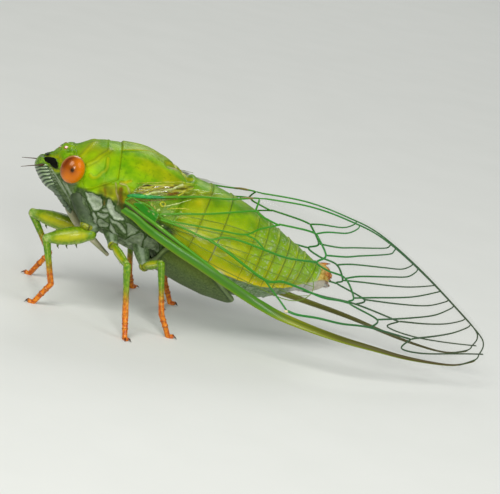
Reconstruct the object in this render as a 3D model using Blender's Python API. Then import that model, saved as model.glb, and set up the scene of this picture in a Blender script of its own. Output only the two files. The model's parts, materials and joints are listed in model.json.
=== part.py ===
# A green cicada at life size, standing on six feet with its wings folded like a roof.
# The body's own axes: x runs from the front of the head to the tail, z towards the back.
# Sizes are in millimetres until a mesh is made.
import math

import bmesh
import bpy
import numpy as np
from mathutils import Matrix, Vector, geometry

millimetre = 0.001
gap = 0.3  # between neighbouring pieces

# How the body stands
bodyPitch = math.radians(10)  # the head is held higher than the tail
bodyLean = math.radians(-5)  # the body leans to its right
headHeight = 13.4  # the front of the head over the floor

# The body's ribs, from the head to the tail: where each one starts on the back (x, z),
# where it ends under the belly (x, z), and half its width
bodyRibs = (
    (0.55, 1.15, 0.75, 0.10, 1.15),
    (1.35, 1.75, 1.70, -0.90, 2.35),
    (1.85, 2.65, 2.70, -1.60, 3.15),
    (2.50, 3.08, 3.90, -2.30, 3.70),
    (3.15, 3.35, 5.40, -3.05, 4.00),
    (4.20, 4.12, 6.30, -3.45, 4.45),
    (5.70, 4.80, 7.40, -3.85, 4.85),
    (7.15, 5.20, 9.20, -4.20, 4.95),
    (9.60, 5.62, 10.80, -4.50, 4.80),
    (11.60, 5.40, 12.10, -4.60, 4.70),
    (13.40, 5.05, 13.20, -4.60, 4.55),
    (15.10, 4.60, 14.30, -4.50, 4.45),
    (18.00, 4.50, 17.50, -5.00, 4.70),
    (20.50, 4.20, 20.30, -5.25, 4.70),
    (23.00, 3.65, 23.00, -5.15, 4.45),
    (25.50, 2.80, 25.30, -4.65, 3.90),
    (27.80, 2.00, 27.40, -3.60, 3.10),
    (29.80, 1.30, 29.20, -2.40, 2.10),
    (31.20, 0.90, 31.00, -1.70, 1.30),
    (32.20, 0.30, 32.20, -0.90, 0.55),
)
neckRib, collarRib, waistRib, tailRib, lastRib = 4, 7, 11, 17, 19
bodySides = 24
roundness = 2.2  # 2 makes an ellipse, more makes a squarer section

# The swollen front of the face: the inner and the outer point of each rib, and half its width
faceRibs = (
    (1.20, 1.10, 0.15, 0.82, 1.00),
    (1.80, 0.80, -0.05, 0.00, 1.60),
    (2.30, 0.40, 0.25, -0.60, 1.80),
    (2.80, 0.00, 0.95, -1.30, 1.85),
    (3.40, -0.40, 1.85, -1.85, 1.70),
    (4.20, -1.00, 2.90, -2.20, 1.40),
    (4.70, -1.60, 3.55, -2.70, 1.00),
    (5.00, -2.20, 4.50, -3.25, 0.75),
    (5.15, -2.85, 5.20, -3.62, 0.50),
)

rippleFirst, rippleLast, rippleHeight = 1, 5, 0.06  # cross ridges of the swollen face, between two ribs

eyeCentre = (3.45, 4.05, 1.28)
eyeRadii = (1.22, 1.15, 1.42)
smallEyes = ((1.80, 0.0, 2.42), (2.42, -0.62, 2.80), (2.42, 0.62, 2.80))
smallEyeRadius = 0.27
antennaPath = ((1.50, 1.20, 0.35), (0.70, 1.75, 0.30), (-0.20, 2.35, -0.05), (-1.30, 3.00, -0.50))
antennaRadii = (0.32, 0.30, 0.24, 0.10)
beakPath = ((5.10, 0.0, -3.20), (6.20, 0.0, -4.15), (7.80, 0.0, -4.95), (10.20, 0.0, -6.05))
beakRadii = (0.45, 0.42, 0.34, 0.20)

# Wings, as seen from the side: x along the body, z up
wingThickness = 0.5
foreWingOutline = (
    (7.9, 0.3), (9.0, -0.5), (10.7, -1.1), (12.2, -1.6), (15.2, -2.3), (18.7, -3.0),
    (23.5, -4.1), (25.9, -4.5), (28.1, -4.7), (32.5, -4.65), (37.6, -4.4), (41.3, -4.3),
    (44.6, -4.0), (47.2, -3.5), (49.0, -2.6), (50.0, -1.2), (50.0, 0.0), (49.1, 0.9),
    (46.4, 2.3), (41.9, 4.2), (37.6, 5.9), (34.4, 6.7), (31.5, 6.9), (28.7, 6.8),
    (26.1, 6.3), (24.2, 5.7), (22.1, 5.2), (20.4, 4.9), (17.2, 4.4), (14.7, 3.9),
    (11.9, 3.0), (9.8, 2.0), (7.9, 1.3),
)
# The fore wing's veins: half width, height, and the line that each one follows (x, z)
foreWingVeins = {
    "claval": (0.30, 0.25, ((9.8, 1.1), (10.9, 1.6), (13.7, 2.7), (16.2, 3.6), (18.9, 4.2), (21.8, 4.9))),
    "base": (0.40, 0.25, ((9.0, 0.2), (10.9, 0.5), (12.8, 0.6))),
    "rear": (0.30, 0.22, ((12.8, 0.6), (14.9, 1.5), (17.1, 2.3), (20.0, 3.5), (21.8, 4.2), (22.8, 4.0),
                          (24.6, 3.9), (27.4, 4.2), (28.6, 4.2))),
    "rear_link": (0.25, 0.20, ((21.8, 4.9), (21.8, 4.2))),
    "middle": (0.25, 0.20, ((12.8, 0.6), (16.8, 1.0), (19.1, 1.4), (21.5, 1.9), (22.8, 2.9), (24.6, 3.9))),
    "middle_link": (0.25, 0.20, ((21.5, 1.9), (22.7, 1.8), (23.9, 1.2))),
    "front": (0.30, 0.25, ((12.8, 0.6), (15.2, 0.3), (18.2, 0.2), (19.6, 0.9), (21.4, 1.2), (23.9, 1.2),
                           (26.5, 1.2), (29.6, 1.7))),
    "front_branch": (0.30, 0.25, ((18.2, 0.2), (20.6, -0.3), (25.0, -1.5), (28.2, -3.5))),
    "long": (0.30, 0.22, ((25.0, -1.5), (26.8, -1.1), (29.0, -1.1), (31.3, -1.2), (34.1, -0.8))),
    "edge": (0.28, 0.22, ((28.2, -3.5), (31.4, -3.1), (33.8, -2.8), (36.9, -2.2), (41.6, -2.0),
                          (40.9, -3.1))),
    "chain": (0.28, 0.22, ((28.6, 4.2), (30.3, 2.6), (29.6, 1.7), (31.0, 1.3), (33.0, 1.2), (34.4, -0.2),
                           (34.1, -0.8), (37.4, -1.3), (36.9, -2.2))),
}
# Veins of the outer cells, which end on the vein that runs inside the outer edge
cellVeinHalfWidth, cellVeinHeight = 0.22, 0.16
foreWingCells = (
    ((28.6, 4.2), (29.9, 4.8), (31.7, 5.4), (32.6, 6.1)),
    ((30.3, 2.6), (32.3, 3.1), (34.3, 4.0), (36.9, 5.4)),
    ((33.0, 1.2), (34.4, 1.9), (37.4, 2.9), (39.8, 4.2)),
    ((34.4, -0.2), (36.1, 0.4), (40.2, 1.8), (42.8, 3.2)),
    ((37.4, -1.3), (40.6, -0.2), (43.2, 0.9), (44.7, 2.1)),
    ((41.6, -2.0), (44.0, -1.0), (45.8, -0.1), (47.1, 0.9)),
    ((40.9, -3.1), (43.9, -2.8), (46.5, -2.3), (49.1, -1.3)),
)
veinStep = 1.8  # the longest straight piece of a vein
costalStart, apexPlace, outerEnd = 1, 15, 24  # places along the outline
costalHalfWidth, costalHeight, rimVeinInset = 0.50, 0.30, 0.55
hindWingVeins = {
    "front": (0.28, 0.12, ((13.6, -0.4), (19.0, -1.0), (24.0, -1.3), (28.6, -1.0))),
    "middle": (0.28, 0.12, ((13.6, -0.4), (19.0, 0.2), (24.0, 0.5), (29.0, 0.2))),
    "rear": (0.28, 0.12, ((13.6, -0.4), (17.5, 1.0), (21.5, 1.7), (25.5, 1.7))),
}
hindWingOutline = (
    (12.6, -0.6), (15.0, -1.6), (19.0, -2.2), (24.0, -2.6), (28.5, -2.4), (30.6, -0.9),
    (30.0, 0.8), (27.5, 2.0), (24.0, 2.7), (20.0, 2.7), (16.0, 2.0), (12.6, 0.9),
)
# Where a wing hangs beside the body: x, the height of its widest line, the height from there
# to its ridge, and its distance from the middle of the body
wingSides = (
    (7.0, 1.0, 4.2, 3.9),
    (9.0, 0.8, 4.6, 4.75),
    (11.0, 0.2, 5.3, 5.60),
    (13.0, -0.4, 6.0, 6.20),
    (16.0, -1.1, 6.7, 6.60),
    (20.0, -1.5, 7.1, 6.70),
    (24.0, -1.5, 7.2, 6.60),
)
hindWingDepth = 1.05  # under the fore wing

# Details of the shell
ringCount, ringLow, ringHigh = 8, -0.12, 0.04  # the abdomen's rings, each a little proud of the next
ledgeInset = 0.40  # how far the flanks stand in under the shield's edge
ledgeLine = ((4.6, -1.0), (8.0, 1.4), (15.0, 1.0))  # that edge, seen from the side
collarRise = 0.10
crossArms = (((12.4, 1.5, 4.70), (13.6, 0.0, 5.00), (12.4, -1.5, 4.70)),
             ((14.4, 1.3, 4.25), (13.6, 0.0, 5.00), (14.4, -1.3, 4.25)))
crossRadius = 0.48
tailSpikes = (((31.0, 0.0, 0.6), (31.7, 0.0, 1.45), 0.28), ((31.6, 0.5, 0.1), (32.5, 0.75, 0.35), 0.25),
              ((31.6, -0.5, 0.1), (32.5, -0.75, 0.35), 0.25), ((31.6, 0.0, -0.7), (32.6, 0.0, -0.85), 0.35))

# The sound plates under the belly: x along the body, and millimetres round it from the middle
platePlan = (
    (13.3, 0.5), (16.0, 0.4), (20.0, 0.5), (22.6, 1.0), (23.5, 2.0), (23.0, 3.2),
    (20.5, 4.7), (17.6, 5.6), (16.0, 5.4), (14.8, 4.5), (14.5, 3.4), (13.7, 1.8),
)
plateThickness = 0.5
plateDistance = 0.75  # from the belly to the middle of the plate

# Each leg: the hip in the body's axes, then the end of the hip piece, the knee, the ankle and
# the toe over the floor. y is outwards.
legJoints = {
    "front_left": (
        (5.6, -2.6, -0.6), (6.85, -3.5, 8.85), (2.60, -4.0, 7.00), (4.00, -3.8, 2.40), (2.30, -3.5, 0.0),
    ),
    "middle_left": (
        (8.8, -3.1, -2.2), (9.20, -4.0, 7.70), (10.8, -7.3, 6.90), (11.7, -8.4, 1.90), (12.2, -9.5, 0.0),
    ),
    "hind_left": (
        (12.5, -3.1, -3.2), (12.7, -4.1, 6.30), (14.1, -6.3, 7.50), (15.3, -6.0, 2.30), (16.8, -5.6, 0.0),
    ),
    "front_right": (
        (5.6, 2.6, -0.6), (6.55, 2.9, 7.40), (0.80, 5.0, 6.90), (3.40, 5.4, 2.90), (1.50, 6.2, 0.0),
    ),
    "middle_right": (
        (8.8, 3.1, -2.2), (9.10, 3.3, 7.10), (11.3, 7.1, 6.40), (12.1, 8.1, 1.90), (13.0, 9.3, 0.0),
    ),
    "hind_right": (
        (12.5, 3.1, -3.2), (12.6, 3.3, 5.70), (14.6, 5.7, 6.90), (15.8, 5.9, 2.30), (17.2, 6.0, 0.0),
    ),
}
# Half thicknesses along each piece of a leg
coxaRadii = {"front": (0.85, 0.80, 0.62), "middle": (0.85, 0.75, 0.50), "hind": (0.85, 0.75, 0.50)}
femurRadii = {
    "front": (0.45, 0.85, 0.80, 0.45), "middle": (0.36, 0.48, 0.45, 0.36), "hind": (0.36, 0.48, 0.45, 0.36),
}
shinRadii = {"front": (0.42, 0.33, 0.32), "middle": (0.38, 0.30, 0.32), "hind": (0.38, 0.30, 0.32)}
toeRadii = (0.30, 0.27, 0.26)
clawLength, clawSpread, clawRadius, clawHeight = 0.50, 0.28, 0.15, 0.10
thighSpikes = ((0.30, 0.75), (0.52, 0.65), (0.72, 0.50))  # place along the front thigh, and length
shinSpikes = ((0.45, 0.45), (0.65, 0.45), (0.85, 0.45))  # place along the hind shin, and length
spikeRadius = 0.20
toeLift = 0.12  # the middle of the last toe joint over the floor
soleLength = 0.6  # of the toe that lies on the floor

finishes = {
    "lime": ((0.26, 0.50, 0.01), 0.42),
    "face": ((0.16, 0.26, 0.13), 0.60),
    "belly": ((0.13, 0.24, 0.10), 0.70),
    "amber": ((0.62, 0.13, 0.01), 0.15),
    "wing": ((0.10, 0.35, 0.05), 0.30),
    "leg": ((0.27, 0.38, 0.02), 0.45),
    "foot": ((0.60, 0.17, 0.02), 0.45),
    "tail": ((0.45, 0.26, 0.05), 0.60),
    "bristle": ((0.07, 0.04, 0.02), 0.50),
}


def clear_scene():
    for thing in list(bpy.data.objects):
        bpy.data.objects.remove(thing)


def new_collection(name):
    collection = bpy.data.collections.new(name)
    bpy.context.scene.collection.children.link(collection)
    return collection


def material(name):
    colour, roughness = finishes[name]
    found = bpy.data.materials.get(name)
    if found:
        return found
    made = bpy.data.materials.new(name)
    made.use_nodes = True
    shader = made.node_tree.nodes["Principled BSDF"]
    shader.inputs["Base Color"].default_value = (*colour, 1.0)
    shader.inputs["Roughness"].default_value = roughness
    shader.inputs["Metallic"].default_value = 0.0
    return made


def smooth_step(low, high, value):
    t = min(1.0, max(0.0, (value - low) / (high - low)))
    return t * t * (3 - 2 * t)


def curve_point(points, t, closed=False):
    """The point at t on a smooth curve through the points, where whole numbers are the points."""
    count = len(points)
    first = int(math.floor(t))
    if not closed:
        first = min(max(first, 0), count - 2)
    part = t - first
    pick = [first - 1, first, first + 1, first + 2]
    if closed:
        pick = [k % count for k in pick]
    else:
        pick = [min(max(k, 0), count - 1) for k in pick]
    a, b, c, d = (np.array(points[k], float) for k in pick)
    return 0.5 * (
        2 * b + (c - a) * part
        + (2 * a - 5 * b + 4 * c - d) * part ** 2
        + (3 * b - a - 3 * c + d) * part ** 3
    )


def smooth_path(points, spacing, closed=False):
    """Points of the smooth curve, about the spacing apart, with the given points among them."""
    path = []
    for k in range(len(points) - (0 if closed else 1)):
        span = np.array(points[(k + 1) % len(points)], float) - np.array(points[k], float)
        steps = max(1, round(float(np.linalg.norm(span)) / spacing))
        path += [curve_point(points, k + n / steps, closed) for n in range(steps)]
    if not closed:
        path.append(np.array(points[-1], float))
    return path


def mesh_object(name, points, faces, collection):
    mesh = bpy.data.meshes.new(name)
    mesh.from_pydata([tuple(float(v) * millimetre for v in p) for p in points], [], faces)
    shell = bmesh.new()
    shell.from_mesh(mesh)
    bmesh.ops.recalc_face_normals(shell, faces=shell.faces)
    shell.to_mesh(mesh)
    shell.free()
    made = bpy.data.objects.new(name, mesh)
    collection.objects.link(made)
    return made


def loft(name, loops, collection):
    """A closed skin over rings of points, with a flat cap at each end."""
    sides = len(loops[0])
    points = [point for loop in loops for point in loop]
    faces = [tuple(range(sides))]
    for k in range(len(loops) - 1):
        for n in range(sides):
            low, high = k * sides, (k + 1) * sides
            faces.append((low + n, low + (n + 1) % sides, high + (n + 1) % sides, high + n))
    faces.append(tuple(range((len(loops) - 1) * sides, len(loops) * sides)))
    return mesh_object(name, points, faces, collection)


def ledge_height(x):
    return np.interp(x, [p[0] for p in ledgeLine], [p[1] for p in ledgeLine])


def rib_loop(rib, sides=bodySides, grow=0.0, shift=0.0, ledge=0.0):
    """The ring of a rib: grow widens it all round, shift moves it along the body, and ledge sets
    the flanks in under the shield's edge."""
    topX, topZ, lowX, lowZ, half = rib
    top, low = np.array((topX + shift, topZ)), np.array((lowX + shift, lowZ))
    along = (top - low) / np.linalg.norm(top - low)
    middle = (top + low) / 2
    height = np.linalg.norm(top - low) / 2 + grow
    loop = []
    for n in range(sides):
        turn = 2 * math.pi * n / sides
        across, up = math.cos(turn), math.sin(turn)
        y = (half + grow) * math.copysign(abs(across) ** (2 / roundness), across)
        x, z = middle + along * height * math.copysign(abs(up) ** (2 / roundness), up)
        under = smooth_step(-0.6, 0.3, ledge_height(x) - z) * ledge
        loop.append((x, y - math.copysign(min(under, abs(y)), y), z))
    return loop


def ledge_at(place):
    """The flanks stand in from behind the head to the waist."""
    behind = smooth_step(waistRib - 1, waistRib, place)
    return ledgeInset * smooth_step(neckRib, neckRib + 1, place) * (1 - behind)


def body_length(name, start, end, collection, grow=0.0, stretch=0.0, steps=2):
    """The body between two ribs; stretch moves its two ends outwards, or inwards below zero."""
    loops = []
    count = (end - start) * steps
    for k in range(count + 1):
        shift = -stretch if k == 0 else stretch if k == count else 0.0
        place = start + k / steps
        collar = collarRise if collarRib - 0.6 <= place <= collarRib else 0.0
        rib = curve_point(bodyRibs, place)
        loops.append(rib_loop(rib, grow=grow + collar, shift=shift, ledge=ledge_at(place)))
    return loft(name, loops, collection)


def ringed_abdomen(name, collection):
    """The abdomen's rings, each with a step down to the next."""
    loops = []
    span = (tailRib - waistRib) / ringCount
    for ring in range(ringCount):
        for share, rise in ((0.03, ringLow), (0.5, (ringLow + ringHigh) / 2), (0.97, ringHigh)):
            rib = curve_point(bodyRibs, waistRib + span * (ring + share))
            loops.append(rib_loop(rib, grow=rise))
    return loft(name, loops, collection)


def face_front(name, collection, grow=0.0, steps=4):
    """The swollen front of the face, with its cross ridges."""
    count = (len(faceRibs) - 1) * steps
    loops = []
    for k in range(count + 1):
        rippled = rippleFirst * steps <= k <= rippleLast * steps
        ripple = rippleHeight * (-1) ** k if rippled else 0.0
        rib = curve_point(faceRibs, k / steps)
        if k == count:
            rib[[0, 2]] += grow
        loops.append(rib_loop(rib, sides=16, grow=grow + ripple))
    return loft(name, loops, collection)


def outwards(end, inner):
    """The direction in which a line leaves through one of its ends."""
    return (end - inner) / np.linalg.norm(end - inner)


def tube(name, path, radii, collection, grow=0.0, resolution=2):
    """A round limb along a smooth path, whose half thickness follows the radii."""
    spots = smooth_path(path, 0.6)
    spots[0] = spots[0] + outwards(spots[0], spots[1]) * grow
    spots[-1] = spots[-1] + outwards(spots[-1], spots[-2]) * grow
    curve = bpy.data.curves.new(name, "CURVE")
    curve.dimensions = "3D"
    curve.bevel_depth = millimetre
    curve.bevel_resolution = resolution
    curve.use_fill_caps = True
    spline = curve.splines.new("POLY")
    spline.points.add(len(spots) - 1)
    for k, (spot, point) in enumerate(zip(spots, spline.points)):
        place = k / (len(spots) - 1) * (len(radii) - 1)
        point.co = (*(float(v) * millimetre for v in spot), 1.0)
        point.radius = float(curve_point([(r,) for r in radii], place)[0]) + grow
    drawn = bpy.data.objects.new(name + "_curve", curve)
    collection.objects.link(drawn)
    graph = bpy.context.evaluated_depsgraph_get()
    mesh = bpy.data.meshes.new_from_object(drawn.evaluated_get(graph))
    shell = bmesh.new()
    shell.from_mesh(mesh)
    bmesh.ops.remove_doubles(shell, verts=shell.verts, dist=0.005 * millimetre)
    bmesh.ops.recalc_face_normals(shell, faces=shell.faces)
    shell.to_mesh(mesh)
    shell.free()
    made = bpy.data.objects.new(name, mesh)
    made.matrix_world = drawn.matrix_world
    collection.objects.link(made)
    bpy.data.objects.remove(drawn)
    return made


def ball(name, centre, radii, collection, rings=12, grow=0.0):
    mesh = bpy.data.meshes.new(name)
    shell = bmesh.new()
    bmesh.ops.create_uvsphere(shell, u_segments=rings * 2, v_segments=rings, radius=1.0)
    size = [(r + grow) * millimetre for r in radii]
    place = Matrix.Translation(Vector(centre) * millimetre) @ Matrix.Diagonal((*size, 1.0))
    bmesh.ops.transform(shell, matrix=place, verts=shell.verts)
    shell.to_mesh(mesh)
    shell.free()
    made = bpy.data.objects.new(name, mesh)
    collection.objects.link(made)
    return made


def spike(name, root, tip, radius, collection, sides=5):
    """A straight thorn."""
    root, tip = Vector(root), Vector(tip)
    mesh = bpy.data.meshes.new(name)
    shell = bmesh.new()
    long = (tip - root).length
    bmesh.ops.create_cone(
        shell, cap_ends=True, segments=sides, radius1=radius, radius2=radius * 0.2, depth=long,
        matrix=Matrix.Translation((0, 0, long / 2)),
    )
    place = Matrix.Translation(root) @ (tip - root).to_track_quat("Z", "Y").to_matrix().to_4x4()
    bmesh.ops.transform(shell, matrix=Matrix.Scale(millimetre, 4) @ place, verts=shell.verts)
    shell.to_mesh(mesh)
    shell.free()
    made = bpy.data.objects.new(name, mesh)
    collection.objects.link(made)
    return made


def apply_modifiers(piece):
    graph = bpy.context.evaluated_depsgraph_get()
    mesh = bpy.data.meshes.new_from_object(piece.evaluated_get(graph))
    piece.modifiers.clear()
    piece.data = mesh


def join(pieces):
    """Overlapping closed pieces made one closed body."""
    first, rest = pieces[0], pieces[1:]
    group = new_collection("joining")
    for piece in rest:
        for owner in list(piece.users_collection):
            owner.objects.unlink(piece)
        group.objects.link(piece)
    union = first.modifiers.new("union", "BOOLEAN")
    union.operation = "UNION"
    union.operand_type = "COLLECTION"
    union.collection = group
    apply_modifiers(first)
    for piece in rest:
        bpy.data.objects.remove(piece)
    bpy.data.collections.remove(group)
    return first


def cut(piece, cutters):
    for cutter in cutters:
        trim = piece.modifiers.new("trim", "BOOLEAN")
        trim.operation = "DIFFERENCE"
        trim.object = cutter
    apply_modifiers(piece)
    keep_largest(piece)


def keep_largest(piece):
    """Drops every closed surface of the mesh but its largest."""
    shell = bmesh.new()
    shell.from_mesh(piece.data)
    waiting, groups = set(shell.verts), []
    while waiting:
        group, edge = set(), [waiting.pop()]
        while edge:
            vert = edge.pop()
            group.add(vert)
            near = {e.other_vert(vert) for e in vert.link_edges} & waiting
            waiting -= near
            edge += near
        groups.append(group)
    largest = max(groups, key=lambda group: np.ptp([v.co[:] for v in group], axis=0).prod())
    spare = [vert for group in groups if group is not largest for vert in group]
    bmesh.ops.delete(shell, geom=spare, context="VERTS")
    shell.to_mesh(piece.data)
    shell.free()


def finish(piece, look):
    piece.data.materials.clear()
    piece.data.materials.append(material(look))
    piece.data.shade_smooth()
    piece.data.set_sharp_from_angle(angle=math.radians(35))


def sheet(name, outline, surface, thickness, spacing, collection, veins=()):
    """A thin plate: its outline in the plane, carried onto the surface, the same net on both faces.
    Veins are ridges of its outer face."""
    rim = smooth_path(outline, spacing, closed=True)
    spots, edges = list(rim), []
    lines = [(half, height, smooth_path(path, veinStep)) for half, height, path in veins]
    for _, _, line in lines:
        add_chain(spots, edges, [spot if well_inside(spot, rim, 0.1) else None for spot in line])
    for half, _, line in lines:
        for side in (-1, 1):
            chain = []
            for spot in beside(line, side * half):
                clear = line_distance(spot, lines) > 0.85 * half and well_inside(spot, rim, 0.25)
                chain.append(spot if clear and apart(spot, spots, 0.8 * half) else None)
            add_chain(spots, edges, chain)
    for spot in net_spots(rim, spacing):
        if apart(spot, spots, 0.75 * spacing):
            spots.append(spot)
    loop = list(range(len(rim)))
    flat = [Vector((float(x), float(z))) for x, z in spots]
    net = geometry.delaunay_2d_cdt(flat, edges, [loop], 1, 1e-4)
    count = len(net[0])
    points = [None] * (2 * count)
    for k, spot in enumerate(net[0]):
        place, normal = surface(spot.x, spot.y)
        ridge = max([ridge_height(spot, *line) for line in lines], default=0.0)
        points[k] = place + normal * (thickness / 2 + ridge)
        points[count + k] = place - normal * thickness / 2
    faces, sides = [], set()
    for a, b, c in net[2]:
        faces.append((a, b, c))
        faces.append((count + c, count + b, count + a))
        sides |= {(a, b), (b, c), (c, a)}
    for a, b in sorted(sides):
        if (b, a) not in sides:
            faces.append((b, a, count + a))
            faces.append((b, count + a, count + b))
    return mesh_object(name, points, faces, collection)


def net_spots(rim, spacing):
    """An even net of points inside a rim."""
    low, high = np.min(rim, axis=0), np.max(rim, axis=0)
    for row in range(int((high[1] - low[1]) / spacing) + 1):
        for column in range(int((high[0] - low[0]) / (2 * spacing)) + 1):
            spot = low + spacing * np.array((2 * column + row % 2, row))
            if inside(spot, rim) and rim_distance(spot, rim) > 0.6 * spacing:
                yield spot


def apart(spot, others, distance):
    return min(np.linalg.norm(np.array(others) - spot, axis=1)) > distance


def well_inside(spot, rim, distance):
    return inside(spot, rim) and rim_distance(spot, rim) > distance


def add_chain(spots, edges, chain):
    """Adds the points of a chain and the edges between neighbours; a left-out point is None."""
    for k, spot in enumerate(chain):
        if spot is not None:
            if k and chain[k - 1] is not None:
                edges.append((len(spots) - 1, len(spots)))
            spots.append(spot)


def beside(line, distance):
    """The points of a line moved sideways."""
    for k, spot in enumerate(line):
        along = line[min(k + 1, len(line) - 1)] - line[max(k - 1, 0)]
        yield spot + np.array((-along[1], along[0])) / np.linalg.norm(along) * distance


def distance_to(spot, line):
    """From a point to a line of straight pieces."""
    starts, ends = np.array(line[:-1]), np.array(line[1:])
    spans = ends - starts
    share = np.einsum("ij,ij->i", np.array(spot) - starts, spans) / np.einsum("ij,ij->i", spans, spans)
    nearest = starts + spans * np.clip(share, 0, 1)[:, None]
    return float(np.min(np.linalg.norm(nearest - np.array(spot), axis=1)))


def rim_distance(spot, rim):
    return distance_to(spot, [*rim, rim[0]])


def line_distance(spot, lines):
    return min(distance_to(spot, line) for _, _, line in lines)


def ridge_height(spot, half, height, line):
    return height * max(0.0, 1 - distance_to(spot, line) / half)


def edge_line(outline, first, last, inset):
    """A line beside a stretch of the outline, the inset inside it."""
    line = []
    for k in range((last - first) * 2 + 1):
        t = first + k / 2
        spot = curve_point(outline, t, closed=True)
        along = curve_point(outline, t + 0.1, closed=True) - curve_point(outline, t - 0.1, closed=True)
        across = np.array((-along[1], along[0])) / np.linalg.norm(along)
        line.append(spot + across * inset)
    return line


def fore_wing_veins():
    costal = edge_line(foreWingOutline, costalStart, apexPlace, costalHalfWidth)
    rimVein = edge_line(foreWingOutline, apexPlace, outerEnd, rimVeinInset)
    veins = [(costalHalfWidth, costalHeight, costal), (cellVeinHalfWidth, cellVeinHeight, rimVein)]
    veins += list(foreWingVeins.values())
    for path in foreWingCells:
        end = min(rimVein, key=lambda spot: np.linalg.norm(spot - np.array(path[-1])))
        veins.append((cellVeinHalfWidth, cellVeinHeight, (*path[:-1], tuple(end))))
    return veins


def inside(spot, rim):
    hits = False
    for (ax, ay), (bx, by) in zip(rim, rim[1:] + rim[:1]):
        if (ay > spot[1]) != (by > spot[1]):
            if spot[0] < ax + (spot[1] - ay) / (by - ay) * (bx - ax):
                hits = not hits
    return hits


def lifted(height, u, v):
    """The point that a height gives over (u, v), and the way that its surface faces."""
    step = 0.05
    place = height(u, v)
    normal = np.cross(height(u + step, v) - place, height(u, v + step) - place)
    return place, normal / np.linalg.norm(normal)


def wing_distance(x, z):
    """How far a folded fore wing is from the body's middle plane."""
    stations = [side[0] for side in wingSides]
    widest, height, half = (np.interp(x, stations, [s[k] for s in wingSides]) for k in (1, 2, 3))
    rise = min(0.97, max(0.0, (z - widest) / height))
    folded = half * math.sqrt(1 - rise * rise)
    ridgeHeight, ridgeHalf, slope, flare = 7.0, 1.0, 0.27, 0.027
    drop = max(0.0, ridgeHeight - z)
    roof = ridgeHalf + slope * drop + flare * drop * drop
    roof *= 1 - 0.62 * smooth_step(34, 50, x)
    behind = smooth_step(22, 33, x)
    return folded * (1 - behind) + roof * behind


def fore_wing_place(side):
    def height(x, z):
        return np.array((x, side * wing_distance(x, z), z))

    def surface(x, z):
        place, normal = lifted(height, x, z)
        return place, normal * math.copysign(1, normal[1] * side)

    return surface


def hind_wing_place(side):
    outer = fore_wing_place(side)

    def surface(x, z):
        place, normal = outer(x, z)
        depth = hindWingDepth + 1.4 * (1 - smooth_step(12.6, 15.5, x))
        return place - normal * depth, normal

    return surface


def plate_place(side):
    def height(x, v):
        rib = body_section(x)
        distance = plateDistance - 1.1 * (1 - smooth_step(13.2, 14.3, x))
        turn = v / (rib[1] + distance)
        y = side * (rib[2] + distance) * math.sin(turn)
        return np.array((x, y, rib[0] - (rib[1] + distance) * math.cos(turn)))

    def surface(x, v):
        place, normal = lifted(height, x, v)
        return place, normal * math.copysign(1, -normal[2])

    return surface


def body_section(x):
    """The middle height, half height and half width of the body at x."""
    ribs = np.array(bodyRibs)
    spots = (ribs[:, 0] + ribs[:, 2]) / 2
    top, low, half = (np.interp(x, spots, ribs[:, k]) for k in (1, 3, 4))
    return (top + low) / 2, (top - low) / 2, half


def body_turn():
    return Matrix.Rotation(bodyPitch, 3, "Y") @ Matrix.Rotation(bodyLean, 3, "X")


def to_floor_axes(point):
    """A point of the body's axes, over the floor."""
    return body_turn() @ Vector(point) + Vector((0, 0, headHeight))


def mirrored(path, side):
    return [(x, y * side, z) for x, y, z in path]


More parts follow.
